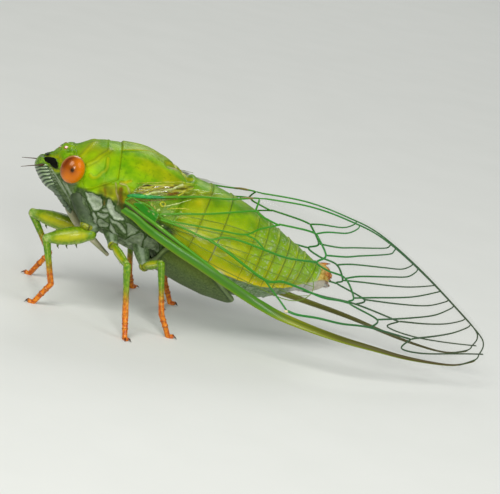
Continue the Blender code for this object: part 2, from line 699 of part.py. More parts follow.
def make_body(parts, helpers):
    nodes = {}
    eyeSockets = []
    for side, word in ((-1, "left"), (1, "right")):
        centre = (eyeCentre[0], eyeCentre[1] * side, eyeCentre[2])
        nodes["eye_" + word] = (ball("eye_" + word, centre, eyeRadii, parts), "amber")
        eyeSockets.append(ball("socket_" + word, centre, eyeRadii, helpers, grow=gap))
    grownFace = face_front("grown_face", helpers, grow=gap)
    grownHead = body_length("grown_head", 0, neckRib, helpers, grow=gap, stretch=gap / 2)
    grownBody = body_length("grown_body", 0, lastRib, helpers, grow=gap, stretch=gap)

    capsule = body_length("head", 0, neckRib, parts, stretch=-gap / 2)
    beads = [ball("small_eye", centre, (smallEyeRadius,) * 3, parts, rings=5) for centre in smallEyes]
    nodes["head"] = (join([capsule, face_front("face", parts), *beads]), "lime")
    cut(nodes["head"][0], eyeSockets)

    nodes["pronotum"] = (body_length("pronotum", neckRib, collarRib, parts, stretch=-gap / 2), "lime")
    cut(nodes["pronotum"][0], eyeSockets + [grownFace])
    thorax = body_length("mesothorax", collarRib, waistRib, parts, stretch=-gap / 2)
    arms = [tube("arm", path, (crossRadius,) * 3, parts) for path in crossArms]
    nodes["mesothorax"] = (join([thorax, *arms]), "lime")
    nodes["abdomen"] = (ringed_abdomen("abdomen", parts), "lime")
    grownThorax = body_length("grown_thorax", collarRib, waistRib, helpers, grow=gap, stretch=gap / 2)
    cut(nodes["abdomen"][0], [grownThorax])
    tip = body_length("abdomen_tip", tailRib, lastRib, parts, stretch=-gap / 2)
    thorns = [spike("thorn", root, point, radius, parts) for root, point, radius in tailSpikes]
    nodes["abdomen_tip"] = (join([tip, *thorns]), "tail")

    beak = tube("rostrum", beakPath, beakRadii, parts)
    cut(beak, [grownHead, grownFace, grownBody])
    nodes["rostrum"] = (beak, "belly")
    for side, word in ((-1, "left"), (1, "right")):
        feeler = tube("antenna_" + word, mirrored(antennaPath, side), antennaRadii, parts)
        cut(feeler, [grownHead, grownFace])
        nodes["antenna_" + word] = (feeler, "bristle")
        plate = sheet("operculum_" + word, platePlan, plate_place(side), plateThickness, 1.2, parts)
        cut(plate, [grownBody])
        nodes["operculum_" + word] = (plate, "belly")
        fore = sheet(
            "forewing_" + word, foreWingOutline, fore_wing_place(side), wingThickness, 1.4, parts,
            veins=fore_wing_veins(),
        )
        cut(fore, [grownBody])
        nodes["forewing_" + word] = (fore, "wing")
        hind = sheet(
            "hindwing_" + word, hindWingOutline, hind_wing_place(side), wingThickness, 1.5, parts,
            veins=hindWingVeins.values(),
        )
        cut(hind, [grownBody])
        nodes["hindwing_" + word] = (hind, "wing")
    return nodes, grownBody


def make_legs(parts, helpers, grownBody):
    nodes = {}
    floor = mesh_object("floor", *box_shape((-20, -30, -5), (70, 30, 0)), helpers)
    for leg, (hip, hipEnd, knee, ankle, toe) in legJoints.items():
        pair = leg.split("_")[0]
        hipTop = to_floor_axes(hip)
        coxaPath = [tuple(hipTop), tuple((hipTop + Vector(hipEnd)) / 2), hipEnd]
        coxa = tube("coxa_" + leg, coxaPath, coxaRadii[pair], parts)
        grownCoxa = tube("grown_coxa_" + leg, coxaPath, coxaRadii[pair], helpers, grow=gap)
        cut(coxa, [grownBody])
        nodes[coxa.name] = (coxa, "belly")

        thigh = [hipEnd, between(hipEnd, knee, 0.35), between(hipEnd, knee, 0.7), knee]
        femur = tube("femur_" + leg, thigh, femurRadii[pair], parts)
        if pair == "front":
            femur = join([femur, *thigh_spikes(hipEnd, knee, parts)])
        grownFemur = tube("grown_femur_" + leg, thigh, femurRadii[pair], helpers, grow=gap)
        cut(femur, [grownCoxa])
        nodes[femur.name] = (femur, "leg")

        shin = tube("shin_" + leg, [knee, between(knee, ankle, 0.5), ankle], shinRadii[pair], parts)
        footEnd = (toe[0], toe[1], toeLift)
        footSole = between(ankle, footEnd, 1.0 - soleLength / math.dist(ankle, footEnd))
        footSole = (footSole[0], footSole[1], toeLift)
        foot = tube("foot", [ankle, between(ankle, footSole, 0.6), footSole, footEnd], toeRadii, parts)
        shin = join([shin, foot, *claws(footSole, footEnd, parts), *shin_spikes(pair, knee, ankle, parts)])
        cut(shin, [grownFemur, floor])
        nodes[shin.name] = (shin, "leg")
    return nodes


def thigh_spikes(start, end, parts):
    """Thorns under a front thigh."""
    for share, long in thighSpikes:
        root = Vector(between(start, end, share)) - Vector((0, 0, 0.35))
        yield spike("thorn", root, root + Vector((0.15, 0, -0.45 - long)), spikeRadius, parts)


def shin_spikes(pair, knee, ankle, parts):
    """Thorns along a hind shin, on its rear side by turns in and out."""
    if pair != "hind":
        return
    for k, (share, long) in enumerate(shinSpikes):
        root = Vector(between(knee, ankle, share))
        aside = Vector((0.8, 0.6 * (-1) ** k, -0.5)).normalized()
        yield spike("thorn", root, root + aside * (long + 0.25), spikeRadius * 0.8, parts)


def claws(sole, end, parts):
    """The pair of claws at the end of a foot."""
    along = (Vector(end) - Vector(sole)).normalized()
    across = Vector((-along.y, along.x, 0))
    for side in (-1, 1):
        root = Vector(end) - along * 0.15 + across * side * 0.08
        tip = root + along * (clawLength + 0.15) + across * side * clawSpread
        yield spike("claw", root, (tip.x, tip.y, clawHeight), clawRadius, parts)


def between(a, b, share):
    return tuple(p + (q - p) * share for p, q in zip(a, b))


def box_shape(low, high):
    points = [(x, y, z) for x in (low[0], high[0]) for y in (low[1], high[1]) for z in (low[2], high[2])]
    faces = [(0, 1, 3, 2), (4, 6, 7, 5), (0, 4, 5, 1), (2, 3, 7, 6), (0, 2, 6, 4), (1, 5, 7, 3)]
    return points, faces


def main():
    clear_scene()
    parts = new_collection("cicada")
    helpers = new_collection("cutters")
    bodyAxes = bpy.data.objects.new("body_axes", None)
    parts.objects.link(bodyAxes)
    bodyNodes, grownBody = make_body(parts, helpers)
    bodyAxes.rotation_euler = body_turn().to_euler()
    bodyAxes.location = (0, 0, headHeight * millimetre)
    for node, look in bodyNodes.values():
        node.parent = bodyAxes
        finish(node, look)
    grownBody.parent = bodyAxes
    bpy.context.view_layer.update()
    legNodes = make_legs(parts, helpers, grownBody)
    for node, look in legNodes.values():
        finish(node, look)
    bpy.context.view_layer.update()
    centre_over_origin([node for node, _ in (*bodyNodes.values(), *legNodes.values())], bodyAxes)
    for helper in helpers.objects:
        helper.hide_render = True
        helper.display_type = "WIRE"


def centre_over_origin(nodes, bodyAxes):
    """Moves everything so that the middle of its floor rectangle is the origin."""
    spots = np.array([node.matrix_world @ v.co for node in nodes for v in node.data.vertices])
    middle = (spots.min(axis=0) + spots.max(axis=0)) / 2
    stand = bpy.data.objects.new("stance", None)
    bodyAxes.users_collection[0].objects.link(stand)
    stand.location = (-middle[0], -middle[1], 0)
    bodyAxes.parent = stand
    for node in nodes:
        if node.parent is None:
            node.parent = stand


main()
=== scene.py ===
# The looks of a green cicada that stands on its six feet with folded wings.
# Shapes are in millimetres in the body's own axes (x to the tail, z to the back) until a mesh is made.
import json
import math

import bpy
import numpy as np
from mathutils import Matrix, Vector

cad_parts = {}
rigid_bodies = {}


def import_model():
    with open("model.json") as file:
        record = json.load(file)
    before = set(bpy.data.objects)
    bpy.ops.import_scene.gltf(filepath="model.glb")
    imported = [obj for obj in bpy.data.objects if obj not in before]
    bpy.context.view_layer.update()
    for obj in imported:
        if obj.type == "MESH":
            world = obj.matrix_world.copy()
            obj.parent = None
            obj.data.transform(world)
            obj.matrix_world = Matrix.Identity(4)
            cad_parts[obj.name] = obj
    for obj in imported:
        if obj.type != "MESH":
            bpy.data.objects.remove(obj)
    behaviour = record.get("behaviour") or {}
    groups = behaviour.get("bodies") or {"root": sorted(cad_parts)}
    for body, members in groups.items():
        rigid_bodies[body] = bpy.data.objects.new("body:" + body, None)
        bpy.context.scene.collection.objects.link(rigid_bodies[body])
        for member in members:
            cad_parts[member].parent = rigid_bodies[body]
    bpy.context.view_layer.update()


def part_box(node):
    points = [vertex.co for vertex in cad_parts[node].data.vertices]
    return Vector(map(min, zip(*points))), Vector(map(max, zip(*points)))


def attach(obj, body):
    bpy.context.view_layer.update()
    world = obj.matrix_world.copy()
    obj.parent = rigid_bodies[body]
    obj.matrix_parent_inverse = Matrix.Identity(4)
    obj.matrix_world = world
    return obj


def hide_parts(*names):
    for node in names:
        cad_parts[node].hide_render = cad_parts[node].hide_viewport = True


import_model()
millimetre = 0.001
rng = np.random.default_rng(7)
bothSides = (("left", -1), ("right", 1))

stance = {
    "pitch": 10.0,  # degrees, the head is held higher than the tail
    "lean": -5.0,
    "headHeight": 13.4,
    "eye": (3.45, 4.05, 1.28),
}
bodyTurn = np.array(
    Matrix.Rotation(math.radians(stance["pitch"]), 3, "Y")
    @ Matrix.Rotation(math.radians(stance["lean"]), 3, "X"))
lowCorner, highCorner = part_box("eye_left")
eyeInWorld = np.array((lowCorner + highCorner) / 2) / millimetre
nearEye = np.array(stance["eye"]) * (1, -1, 1)
floorShift = eyeInWorld - bodyTurn @ nearEye - (0, 0, stance["headHeight"])


def fromBody(points):  # body's axes to world, in metres
    return (np.asarray(points) @ bodyTurn.T + (0, 0, stance["headHeight"]) + floorShift) * millimetre


def fromFloor(points):  # the unshifted floor axes of the legs to world, in metres
    return (np.asarray(points) + floorShift) * millimetre


def onFloor(points):  # like fromFloor, pressed flat where the floor is
    pressed = np.array(points, float)
    pressed[..., 2] = np.maximum(pressed[..., 2], 0.0)
    return fromFloor(pressed)


def toFloor(points):  # body's axes to the unshifted floor axes
    return np.asarray(points) @ bodyTurn.T + (0, 0, stance["headHeight"])


def smoothStep(low, high, value):
    t = np.clip((np.asarray(value, float) - low) / (high - low), 0, 1)
    return t * t * (3 - 2 * t)


def fade(low, high, value):
    return 1 - smoothStep(low, high, value)


def within(value, low, lowFull, highFull, high):  # 1 between two soft limits
    return smoothStep(low, lowFull, value) * fade(highFull, high, value)


def bell(distance, width):
    return np.exp(-(distance / width) ** 2)


def unit(value):  # kept between 0 and 1
    return np.clip(value, 0, 1)


def lookUp(at, table):  # straight lines between the rows of a table
    return np.interp(at, *zip(*table))


def fromSpot(points, spot):
    return np.linalg.norm(points - spot, axis=-1)


def degreesFrom(middle, turns):
    return np.abs((np.degrees(turns) - middle + 180) % 360 - 180)[None]


def aroundCircle(count):
    return np.linspace(0, 2 * math.pi, count, endpoint=False)


def curveAt(points, t):  # a smooth curve through rows of numbers; whole numbers are the rows
    points = np.asarray(points, float)
    t = np.clip(np.asarray(t, float), 0, len(points) - 1)
    k = np.minimum(t.astype(int), len(points) - 2)
    f = (t - k)[..., None]
    a, b, c, d = (points[np.clip(k + n, 0, len(points) - 1)] for n in (-1, 0, 1, 2))
    return 0.5 * (2 * b + (c - a) * f + (2 * a - 5 * b + 4 * c - d) * f ** 2 + (3 * b - a - 3 * c + d) * f ** 3)


def lengthsAlong(points):
    return np.concatenate([[0], np.cumsum(np.linalg.norm(np.diff(points, axis=0), axis=1))])


def resample(fine, run, at):
    return np.stack([np.interp(at, run, column) for column in fine.T], axis=1)


def evenly(points, spacing):  # points of the curve, about the spacing apart
    fine = curveAt(points, np.linspace(0, len(points) - 1, 40 * len(points)))
    run = lengthsAlong(fine)
    return resample(fine, run, np.linspace(0, run[-1], max(2, int(round(run[-1] / spacing)) + 1)))


def closedCurve(points, count):
    points = np.asarray(points, float)
    looped = np.concatenate([points[-1:], points, points[:2]])
    fine = curveAt(looped, np.linspace(1, len(points) + 1, 60 * len(points)))
    run = lengthsAlong(fine)
    return resample(fine, run, np.linspace(0, run[-1], count, endpoint=False))


def awayFrom(points, path):  # distance from points to a line of straight pieces
    points, path = np.asarray(points, float), np.asarray(path, float)
    nearest = np.full(points.shape[:-1], 1e9)
    for a, b in zip(path[:-1], path[1:]):
        span = b - a
        share = np.clip(((points - a) @ span) / max(span @ span, 1e-12), 0, 1)
        nearest = np.minimum(nearest, np.linalg.norm(points - a - share[..., None] * span, axis=-1))
    return nearest


def awayFromCurve(points, path, spacing):
    return awayFrom(points, evenly(path, spacing))


def outlineDepth(spots, outline):  # how far inside a smooth closed outline flat points are, below zero outside
    outline = closedCurve(outline, 48)
    depth = np.full(spots.shape[:-1], -9.0)
    low, high = outline.min(axis=0) - 0.8, outline.max(axis=0) + 0.8
    close = np.all((spots > low) & (spots < high), axis=-1)
    chosen = spots[close]
    hits = np.zeros(len(chosen), bool)
    for (ax, ay), (bx, by) in zip(outline, np.roll(outline, -1, axis=0)):
        crossing = (ay > chosen[:, 1]) != (by > chosen[:, 1])
        hits ^= crossing & (chosen[:, 0] < ax + (chosen[:, 1] - ay) / (by - ay + 1e-12) * (bx - ax))
    away = awayFrom(chosen, np.concatenate([outline, outline[:1]]))
    depth[close] = np.where(hits, away, -away)
    return depth


noiseTable = rng.random((32, 32, 32))


def lumps(points, size):  # smooth noise from -1 to 1
    spots = np.asarray(points) / size + 100.0
    cell = np.floor(spots).astype(int)
    f = spots - cell
    f = f * f * (3 - 2 * f)
    total = 0.0
    for corner in np.ndindex(2, 2, 2):
        k = (cell + corner) % 32
        weight = np.prod([f[..., n] if corner[n] else 1 - f[..., n] for n in range(3)], axis=0)
        total = total + weight * noiseTable[k[..., 0], k[..., 1], k[..., 2]]
    return total * 2 - 1


def gridFaces(rows, columns, closed=True, flip=False):
    faces = []
    for r in range(rows - 1):
        for c in range(columns if closed else columns - 1):
            n = (c + 1) % columns
            face = (r * columns + c, r * columns + n, (r + 1) * columns + n, (r + 1) * columns + c)
            faces.append(face[::-1] if flip else face)
    return faces


def closeEnds(faces, rows, columns):
    return faces + [tuple(range(columns))[::-1], tuple(range((rows - 1) * columns, rows * columns))]


def normalsOf(grid):  # outward normals of a closed grid of points
    across = np.roll(grid, -1, axis=1) - np.roll(grid, 1, axis=1)
    normal = np.cross(np.gradient(grid, axis=0), across)
    return normal / np.maximum(np.linalg.norm(normal, axis=2, keepdims=True), 1e-12)


class Heap:  # gathers shapes that become one mesh
    def __init__(self):
        self.points, self.faces, self.masks, self.count = [], [], {}, 0

    def add(self, points, faces, **masks):
        for name in set(masks) | set(self.masks):
            kept = self.masks.setdefault(name, np.zeros(self.count))
            new = np.broadcast_to(np.asarray(masks.get(name, 0.0), float).reshape(-1), (len(points),))
            self.masks[name] = np.concatenate([kept, new])
        self.points.append(points)
        self.faces += [tuple(int(n) + self.count for n in face) for face in faces]
        self.count += len(points)

    def addGrid(self, grid, place=fromBody, closed=True, flip=False, **masks):  # a closed one is a tube
        rows, columns = grid.shape[:2]
        faces = gridFaces(rows, columns, closed, flip)
        self.add(place(grid.reshape(-1, 3)), closeEnds(faces, rows, columns) if closed else faces, **masks)

    def piece(self, name, look, slot, *nodes):
        mesh = bpy.data.meshes.new(name)
        mesh.from_pydata(np.concatenate(self.points).tolist(), [], self.faces)
        mesh.validate()
        mesh.polygons.foreach_set("use_smooth", [True] * len(mesh.polygons))
        for mask, values in self.masks.items():
            mesh.attributes.new(mask, "FLOAT", "POINT").data.foreach_set("value", values.astype(np.float32))
        mesh.materials.append(look)
        made = bpy.data.objects.new(name, mesh)
        bpy.context.scene.collection.objects.link(made)
        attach(made, "root")
        if nodes:
            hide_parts(*nodes)


def ringsAround(middles, aside, upward, size, flat, sides):
    turn = aroundCircle(sides)[:, None]
    ring = aside[:, None] * (np.cos(turn) * (size * flat)[:, None, None])
    return middles[:, None] + (ring + upward[:, None] * (np.sin(turn) * size[:, None, None]))


def limb(path, radii, sides, spacing, flat=1.0, up=(0, 0, 1)):
    # a limb with round ends along a smooth path; flat is its width over its height, and the rings are a grid
    spots = evenly(path, spacing)
    share = np.linspace(0, 1, len(spots))
    size = curveAt(np.reshape(radii, (-1, 1)), share * (len(radii) - 1))[:, 0]
    turns = np.radians((90, 70, 50, 30, 12))
    start, end = spots[0] - spots[1], spots[-1] - spots[-2]
    start, end = start / np.linalg.norm(start), end / np.linalg.norm(end)
    head = [spots[0] + start * size[0] * 0.8 * math.sin(t) for t in turns]
    tail = [spots[-1] + end * size[-1] * 0.8 * math.sin(t) for t in turns[::-1]]
    spots = np.concatenate([head, spots, tail])
    size = np.concatenate([size[0] * np.cos(turns), size, size[-1] * np.cos(turns[::-1])])
    share = np.concatenate([[0] * 5, share, [1] * 5])
    way = np.gradient(spots, axis=0)
    way /= np.linalg.norm(way, axis=1, keepdims=True)
    upward = np.asarray(up, float) - way * (way @ np.asarray(up, float))[:, None]
    upward /= np.linalg.norm(upward, axis=1, keepdims=True)
    grid = ringsAround(spots, np.cross(way, upward), upward, size, flat, sides)
    return grid, np.broadcast_to(share[:, None], grid.shape[:2])


def addLimb(heap, path, radii, place, masks=None, bumps=None, **form):
    grid, share = limb(path, radii, **form)
    turn = np.broadcast_to(aroundCircle(share.shape[1]), share.shape)
    if bumps:
        grid = grid - normalsOf(grid) * bumps(grid, share, turn)[..., None]
    values = {name: (value(share, turn) if callable(value) else value) for name, value in (masks or {}).items()}
    heap.addGrid(grid, place, **values)
    return grid


def addHairs(heap, grid, count, length, place, **masks):  # short fine hairs that lean along a limb
    rows, columns = grid.shape[:2]
    way = grid[-8].mean(axis=0) - grid[8].mean(axis=0)
    way /= np.linalg.norm(way)
    for _ in range(count):
        r, c = rng.integers(8, rows - 8), rng.integers(0, columns)
        out = grid[r, c] - grid[r].mean(axis=0)
        out /= np.linalg.norm(out)
        tip = grid[r, c] + (out * 0.8 + way * 0.7 + rng.normal(0, 0.15, 3)) * length * rng.uniform(0.6, 1.1)
        side = np.cross(out, way)
        ring = [grid[r, c] + (side * math.cos(a) + way * math.sin(a)) * 0.016 for a in (0, 2.1, 4.2)]
        heap.add(place(np.array([*ring, tip])), [(0, 1, 3), (1, 2, 3), (2, 0, 3), (2, 1, 0)], **masks)


def rgb(red, green, blue):  # screen colour to scene colour
    return tuple(((c / 255 + 0.055) / 1.055) ** 2.4 if c > 10 else c / 255 / 12.92 for c in (red, green, blue))


class Wire:  # a node's output, for sums written as Python
    def __init__(self, look, socket):
        self.look, self.socket = look, socket

    def sum(self, operation, *values):
        return self.look.node("Math", {"operation": operation}, dict(enumerate(values)))

    def __add__(self, other):
        return self.sum("ADD", self, other)

    def __sub__(self, other):
        return self.sum("SUBTRACT", self, other)

    def __rsub__(self, other):
        return self.sum("SUBTRACT", other, self)

    def __mul__(self, other):
        return self.sum("MULTIPLY", self, other)

    __radd__ = __add__
    __rmul__ = __mul__

    def clear(self):  # kept between 0 and 1
        return self.look.node("Clamp", {}, {0: self})


class Look:  # a material and its nodes
    def __init__(self, name, fixed):
        self.material = bpy.data.materials.new(name)
        self.material.use_nodes = True
        self.tree = self.material.node_tree
        self.shader = self.tree.nodes["Principled BSDF"]
        for key, value in fixed.items():
            self.shader.inputs[key].default_value = value
        self.millimetres = self.node("VectorMath", {"operation": "SCALE"}, {
            0: self.node("TexCoord", {}, {}, "Object"), "Scale": 1 / millimetre})

    def node(self, kind, settings, inputs, output=0):
        made = self.tree.nodes.new("ShaderNode" + kind)
        for key, value in settings.items():
            if key == "stops":
                while len(made.color_ramp.elements) < len(value):
                    made.color_ramp.elements.new(0.5)
                for element, (spot, colour) in zip(made.color_ramp.elements, value):
                    element.position, element.color = spot, (*rgb(*colour), 1.0)
            else:
                setattr(made, key, value)
        for key, value in inputs.items():
            if isinstance(value, Wire):
                self.tree.links.new(value.socket, made.inputs[key])
            else:
                made.inputs[key].default_value = value
        return Wire(self, made.outputs[output])

    def mask(self, name):
        return self.node("Attribute", {"attribute_name": name}, {}, "Fac")

    def noise(self, size):  # size in millimetres
        return self.node("TexNoise", {}, {"Vector": self.millimetres, "Scale": 1 / size, "Detail": 3.0})

    def grains(self, size):  # distance from the middle of small cells
        return self.node("TexVoronoi", {}, {"Vector": self.millimetres, "Scale": 1 / size})

    def between(self, low, high, value):
        return self.node("MapRange", {"interpolation_type": "SMOOTHSTEP"}, {
            "Value": value, "From Min": low, "From Max": high})

    def mottle(self, low, size):  # noise with its middle stretched
        return self.between(low, 1 - low, self.noise(size))

    def ramp(self, along, stops):
        return self.node("ValToRGB", {"stops": stops}, {"Fac": along})

    def mix(self, factor, first, second):  # colours are wires or screen colours
        first, second = (c if isinstance(c, Wire) else (*rgb(*c), 1.0) for c in (first, second))
        return self.node("Mix", {"data_type": "RGBA"}, {0: factor, 6: first, 7: second}, 2)

    def paint(self, colour, layers):  # colours laid over each other: mask, colour, strength
        for name, shade, *strength in layers:
            colour = self.mix(self.mask(name) * strength[0] if strength else self.mask(name), colour, shade)
        return colour

    def feed(self, **wires):
        for key, wire in wires.items():
            self.tree.links.new(wire.socket, self.shader.inputs[key.replace("_", " ")])
        return self.material

    def relief(self, height, depth):  # depth in millimetres
        return self.node("Bump", {}, {"Height": height, "Distance": depth * millimetre, "Strength": 1.0})


bodyRibs = (  # on the back (x, z), under the belly (x, z), half the width
    (0.55, 1.15, 0.75, 0.10, 1.15), (1.35, 1.75, 1.70, -0.90, 2.35), (1.85, 2.65, 2.70, -1.60, 3.15),
    (2.50, 3.08, 3.90, -2.30, 3.70), (3.15, 3.35, 5.40, -3.05, 4.00), (4.20, 4.12, 6.30, -3.45, 4.45),
    (5.70, 4.80, 7.40, -3.85, 4.85), (7.15, 5.20, 9.20, -4.20, 4.95), (9.60, 5.62, 10.80, -4.50, 4.80),
    (11.60, 5.40, 12.10, -4.60, 4.70), (13.40, 5.05, 13.20, -4.60, 4.55), (15.10, 4.60, 14.30, -4.50, 4.45),
    (18.00, 4.50, 17.50, -5.00, 4.70), (20.50, 4.20, 20.30, -5.25, 4.70), (23.00, 3.65, 23.00, -5.15, 4.45),
    (25.50, 2.80, 25.30, -4.65, 3.90), (27.80, 2.00, 27.40, -3.60, 3.10), (29.80, 1.30, 29.20, -2.40, 2.10),
    (31.20, 0.90, 31.00, -1.70, 1.30), (32.20, 0.30, 32.20, -0.90, 0.55),
)
faceRibs = (
    (1.20, 1.10, 0.15, 0.82, 1.15), (1.80, 0.80, -0.05, 0.00, 1.85), (2.30, 0.40, 0.25, -0.60, 2.15),
    (2.80, 0.00, 0.95, -1.30, 2.25), (3.40, -0.40, 1.85, -1.85, 2.10), (4.20, -1.00, 2.90, -2.20, 1.75),
    (4.70, -1.60, 3.55, -2.70, 1.25), (5.00, -2.20, 4.50, -3.25, 0.85), (5.15, -2.85, 5.20, -3.62, 0.55),
)
ribRoundness = 2.2  # 2 would be an ellipse


def ribGrid(ribs, places, turns):
    topX, topZ, lowX, lowZ, half = curveAt(ribs, places).T[:, :, None]
    height = np.hypot(topX - lowX, topZ - lowZ)
    upX, upZ = (topX - lowX) / height, (topZ - lowZ) / height
    bend = 2 / ribRoundness
    across = np.sign(np.cos(turns)) * np.abs(np.cos(turns)) ** bend
    upward = np.sign(np.sin(turns)) * np.abs(np.sin(turns)) ** bend
    x = (topX + lowX) / 2 + upX * height / 2 * upward
    z = (topZ + lowZ) / 2 + upZ * height / 2 * upward
    return np.stack([x, half * across, z], axis=2)


def evenPlaces(ribs, count, density=None):  # places along the ribs, about even steps apart
    fine = np.linspace(0, len(ribs) - 1, 4000)
    ends = curveAt(ribs, fine)
    steps = np.hypot(*np.diff((ends[:, :2] + ends[:, 2:4]) / 2, axis=0).T)
    if density:
        steps = steps * lookUp(fine[1:], density)
    run = np.cumsum(np.concatenate([[0], steps]))
    return np.interp(np.linspace(0, run[-1], count), run, fine)


skin = {
    "rows": 860,
    "sides": 432,
    "rowDensity": ((0, 1.5), (6, 1.4), (9, 1.0), (11, 0.9), (19, 0.9)),
    "closing": (18.0, 1.01),  # the ribs between which the end closes: start, length
    "shieldRise": 0.10,  # the neck shield over its neighbours
    "flankInset": 0.34,
    "plateRise": 0.26,
    "ringStep": 0.13,
    "ringPlaces": (11.0, 11.75, 12.6, 13.9, 14.4, 14.95, 15.5, 16.0, 16.45, 17.2, 17.9, 18.6),
}
perPlace = 1.7  # millimetres from rib to rib
perDegree = 0.083  # millimetres round the body
eyeRadii = (1.22, 1.15, 1.42)
creamColours = ((164, 120, 30), (206, 180, 96))
# hard plates of the flank, on one side: paleness, then x and millimetres round the body from the back
flankPlates = (
    (0.95, ((5.51, 7.95), (6.17, 7.8), (6.52, 7.85), (7.15, 7.9), (7.45, 8.6), (7.39, 9.05), (7.06, 9.45),
            (6.66, 9.3), (5.98, 8.65))),
    (1.0, ((7.6, 7.9), (7.85, 7.75), (8.24, 7.95), (8.83, 8.5), (9.79, 8.75), (9.97, 9.05), (9.45, 9.3),
           (8.88, 9.3), (8.47, 9.0), (7.94, 8.6))),
    (0.85, ((6.84, 9.63), (7.38, 9.88), (7.83, 10.96), (8.11, 11.62), (7.65, 11.4), (7.21, 10.5))),
    (0.55, ((7.64, 10.2), (7.86, 9.96), (8.32, 10.0), (8.75, 10.2), (8.7, 10.65), (8.26, 11.12),
            (8.02, 11.12), (7.73, 10.71))),
    (0.75, ((7.27, 9.38), (7.83, 9.25), (8.36, 9.13), (8.46, 9.35), (8.04, 9.79), (7.53, 9.79))),
    (0.6, ((7.53, 8.9), (7.97, 8.6), (8.29, 8.85), (7.85, 9.12))),
    (0.8, ((8.78, 10.0), (8.97, 9.98), (9.55, 10.5), (10.1, 10.9), (10.13, 11.35), (9.83, 11.37),
           (9.08, 10.7))),
    (0.6, ((8.53, 9.35), (8.93, 9.38), (9.69, 9.46), (10.36, 9.75), (10.7, 9.96), (10.7, 10.35),
           (10.32, 10.35), (9.76, 9.95), (9.07, 9.83), (8.71, 9.75))),
    (0.4, ((10.01, 9.1), (10.49, 9.15), (11.63, 9.25), (11.5, 9.71), (11.15, 10.4), (10.93, 10.5),
           (10.6, 9.63))),
    (0.45, ((10.85, 11.45), (11.21, 10.54), (11.45, 9.96), (12.1, 9.35), (12.53, 9.96), (12.63, 10.87),
            (12.45, 11.54), (11.74, 12.28), (11.24, 12.12))),
    (0.35, ((12.6, 9.6), (13.07, 9.5), (13.8, 9.6), (14.48, 10.4), (13.9, 11.2), (13.0, 11.4))),
    (0.25, ((4.5, 8.85), (5.06, 8.35), (5.75, 8.65), (6.45, 9.5), (7.1, 10.4), (7.7, 11.6), (7.3, 12.4),
            (6.5, 12.2), (5.6, 11.2), (5.0, 10.2))),
)
# middles of the other small plates, under the body
underPlates = np.array((
    (8.6, 12.6), (9.6, 13.0), (10.6, 12.7), (11.7, 13.2), (13.0, 12.6), (14.0, 12.2), (6.6, 13.4), (7.8, 13.8),
    (9.2, 14.2), (10.8, 14.3), (12.4, 14.3), (13.8, 13.9), (9.6, 11.9), (10.6, 11.3), (9.2, 11.5), (5.6, 12.6),
))
# limits on the body as pairs of rib and degrees from the back; the shield's front has the degrees first
shieldFront = ((0, 3.5), (41, 4.0), (56, 4.62), (71, 4.88), (80, 4.62), (86, 4.5), (92, 4.7), (96, 5.0))
shieldLow = ((4.0, 98), (4.9, 95), (5.62, 90), (6.38, 82), (6.62, 79), (7.12, 71), (8.0, 66))
shieldBack = 7.06
flankTop = ((4.4, 100), (4.9, 95), (5.62, 90), (6.38, 82), (7.12, 76), (9.1, 78), (11.2, 80))
bellyLimit = ((16.4, 116), (17.2, 104), (17.6, 93), (17.9, 84), (18.2, 78))
backLow = ((6.9, 71), (8.0, 71), (9.1, 64), (10.0, 56), (11.2, 50))
shieldGrooves = (  # depth, width, line
    (0.09, 0.30, ((4.59, 0.89, 4.27), (4.29, 2.0, 3.81), (4.01, 2.74, 3.16), (3.78, 3.01, 2.68))),
    (0.11, 0.34, ((6.25, 2.7, 4.3), (6.05, 3.07, 4.06), (5.54, 3.51, 3.48), (5.23, 3.81, 2.94),
                  (4.61, 3.91, 2.26))),
    (0.07, 0.22, ((6.3, 3.71, 3.59), (6.47, 4.34, 2.78), (6.21, 4.58, 2.11), (5.92, 4.64, 1.56),
                  (5.5, 4.5, 1.35), (5.23, 4.42, 1.46))),
)
brightSpots = ((1.0, 0.75, (5.1, 4.2, 1.9)), (0.8, 0.6, (4.9, 3.2, 3.4)), (0.5, 0.35, (5.3, 4.5, 0.2)))
backStripes = (
    ((7.47, 2.45, 4.76), (8.56, 2.04, 5.13), (10.19, 1.21, 5.49), (11.2, 1.1, 5.3)),
    ((7.47, 2.70, 4.62), (8.56, 2.34, 5.0), (10.0, 2.0, 5.2), (12.0, 1.9, 5.0)),
    ((7.4, 0.5, 5.2), (9.0, 0.45, 5.5), (10.6, 0.35, 5.5)),
)
crossArms = (((12.2, 1.7), (13.5, 0.0)), ((13.5, 0.0), (14.7, 1.5)))
hingeStreak = ((7.02, 7.14), (7.25, 7.47), (7.53, 8.38))
hingeRidges = (  # pinkish ridges where the wing is hung: half width, line
    (0.07, ((7.83, 6.39), (8.2, 7.14), (8.61, 7.55), (8.72, 7.89))),
    (0.09, ((8.25, 6.31), (8.83, 6.31), (9.22, 6.64), (9.61, 7.06), (9.7, 7.3))),
)
hingeHollow = ((8.45, 6.75), (8.62, 7.22), (8.9, 7.66), (9.26, 7.97))
hingeTuft = ((8.26, 6.14), (8.72, 6.06), (9.15, 5.81))
hingePocket = (8.92, 6.92)
blackPatch = (  # seen from the front: y and z
    (1.15, 0.98), (1.6, 1.25), (2.2, 1.42), (2.6, 1.28), (2.95, 1.18), (3.12, 0.75), (2.82, 0.52),
    (2.3, 0.58), (2.0, 0.66), (1.45, 0.60), (1.2, 0.72),
)
browLedge = ((0.70, 0.95, 1.28), (1.1, 1.45, 1.52), (1.5, 2.0, 1.66), (1.85, 2.5, 1.62), (2.15, 2.95, 1.45))
feelerLedge = ((0.85, 1.35, 0.30), (1.15, 1.8, 0.28), (1.6, 2.4, 0.36), (2.0, 2.85, 0.36), (2.3, 3.15, 0.5))
feelerBase = (1.0, 1.62, 0.32)
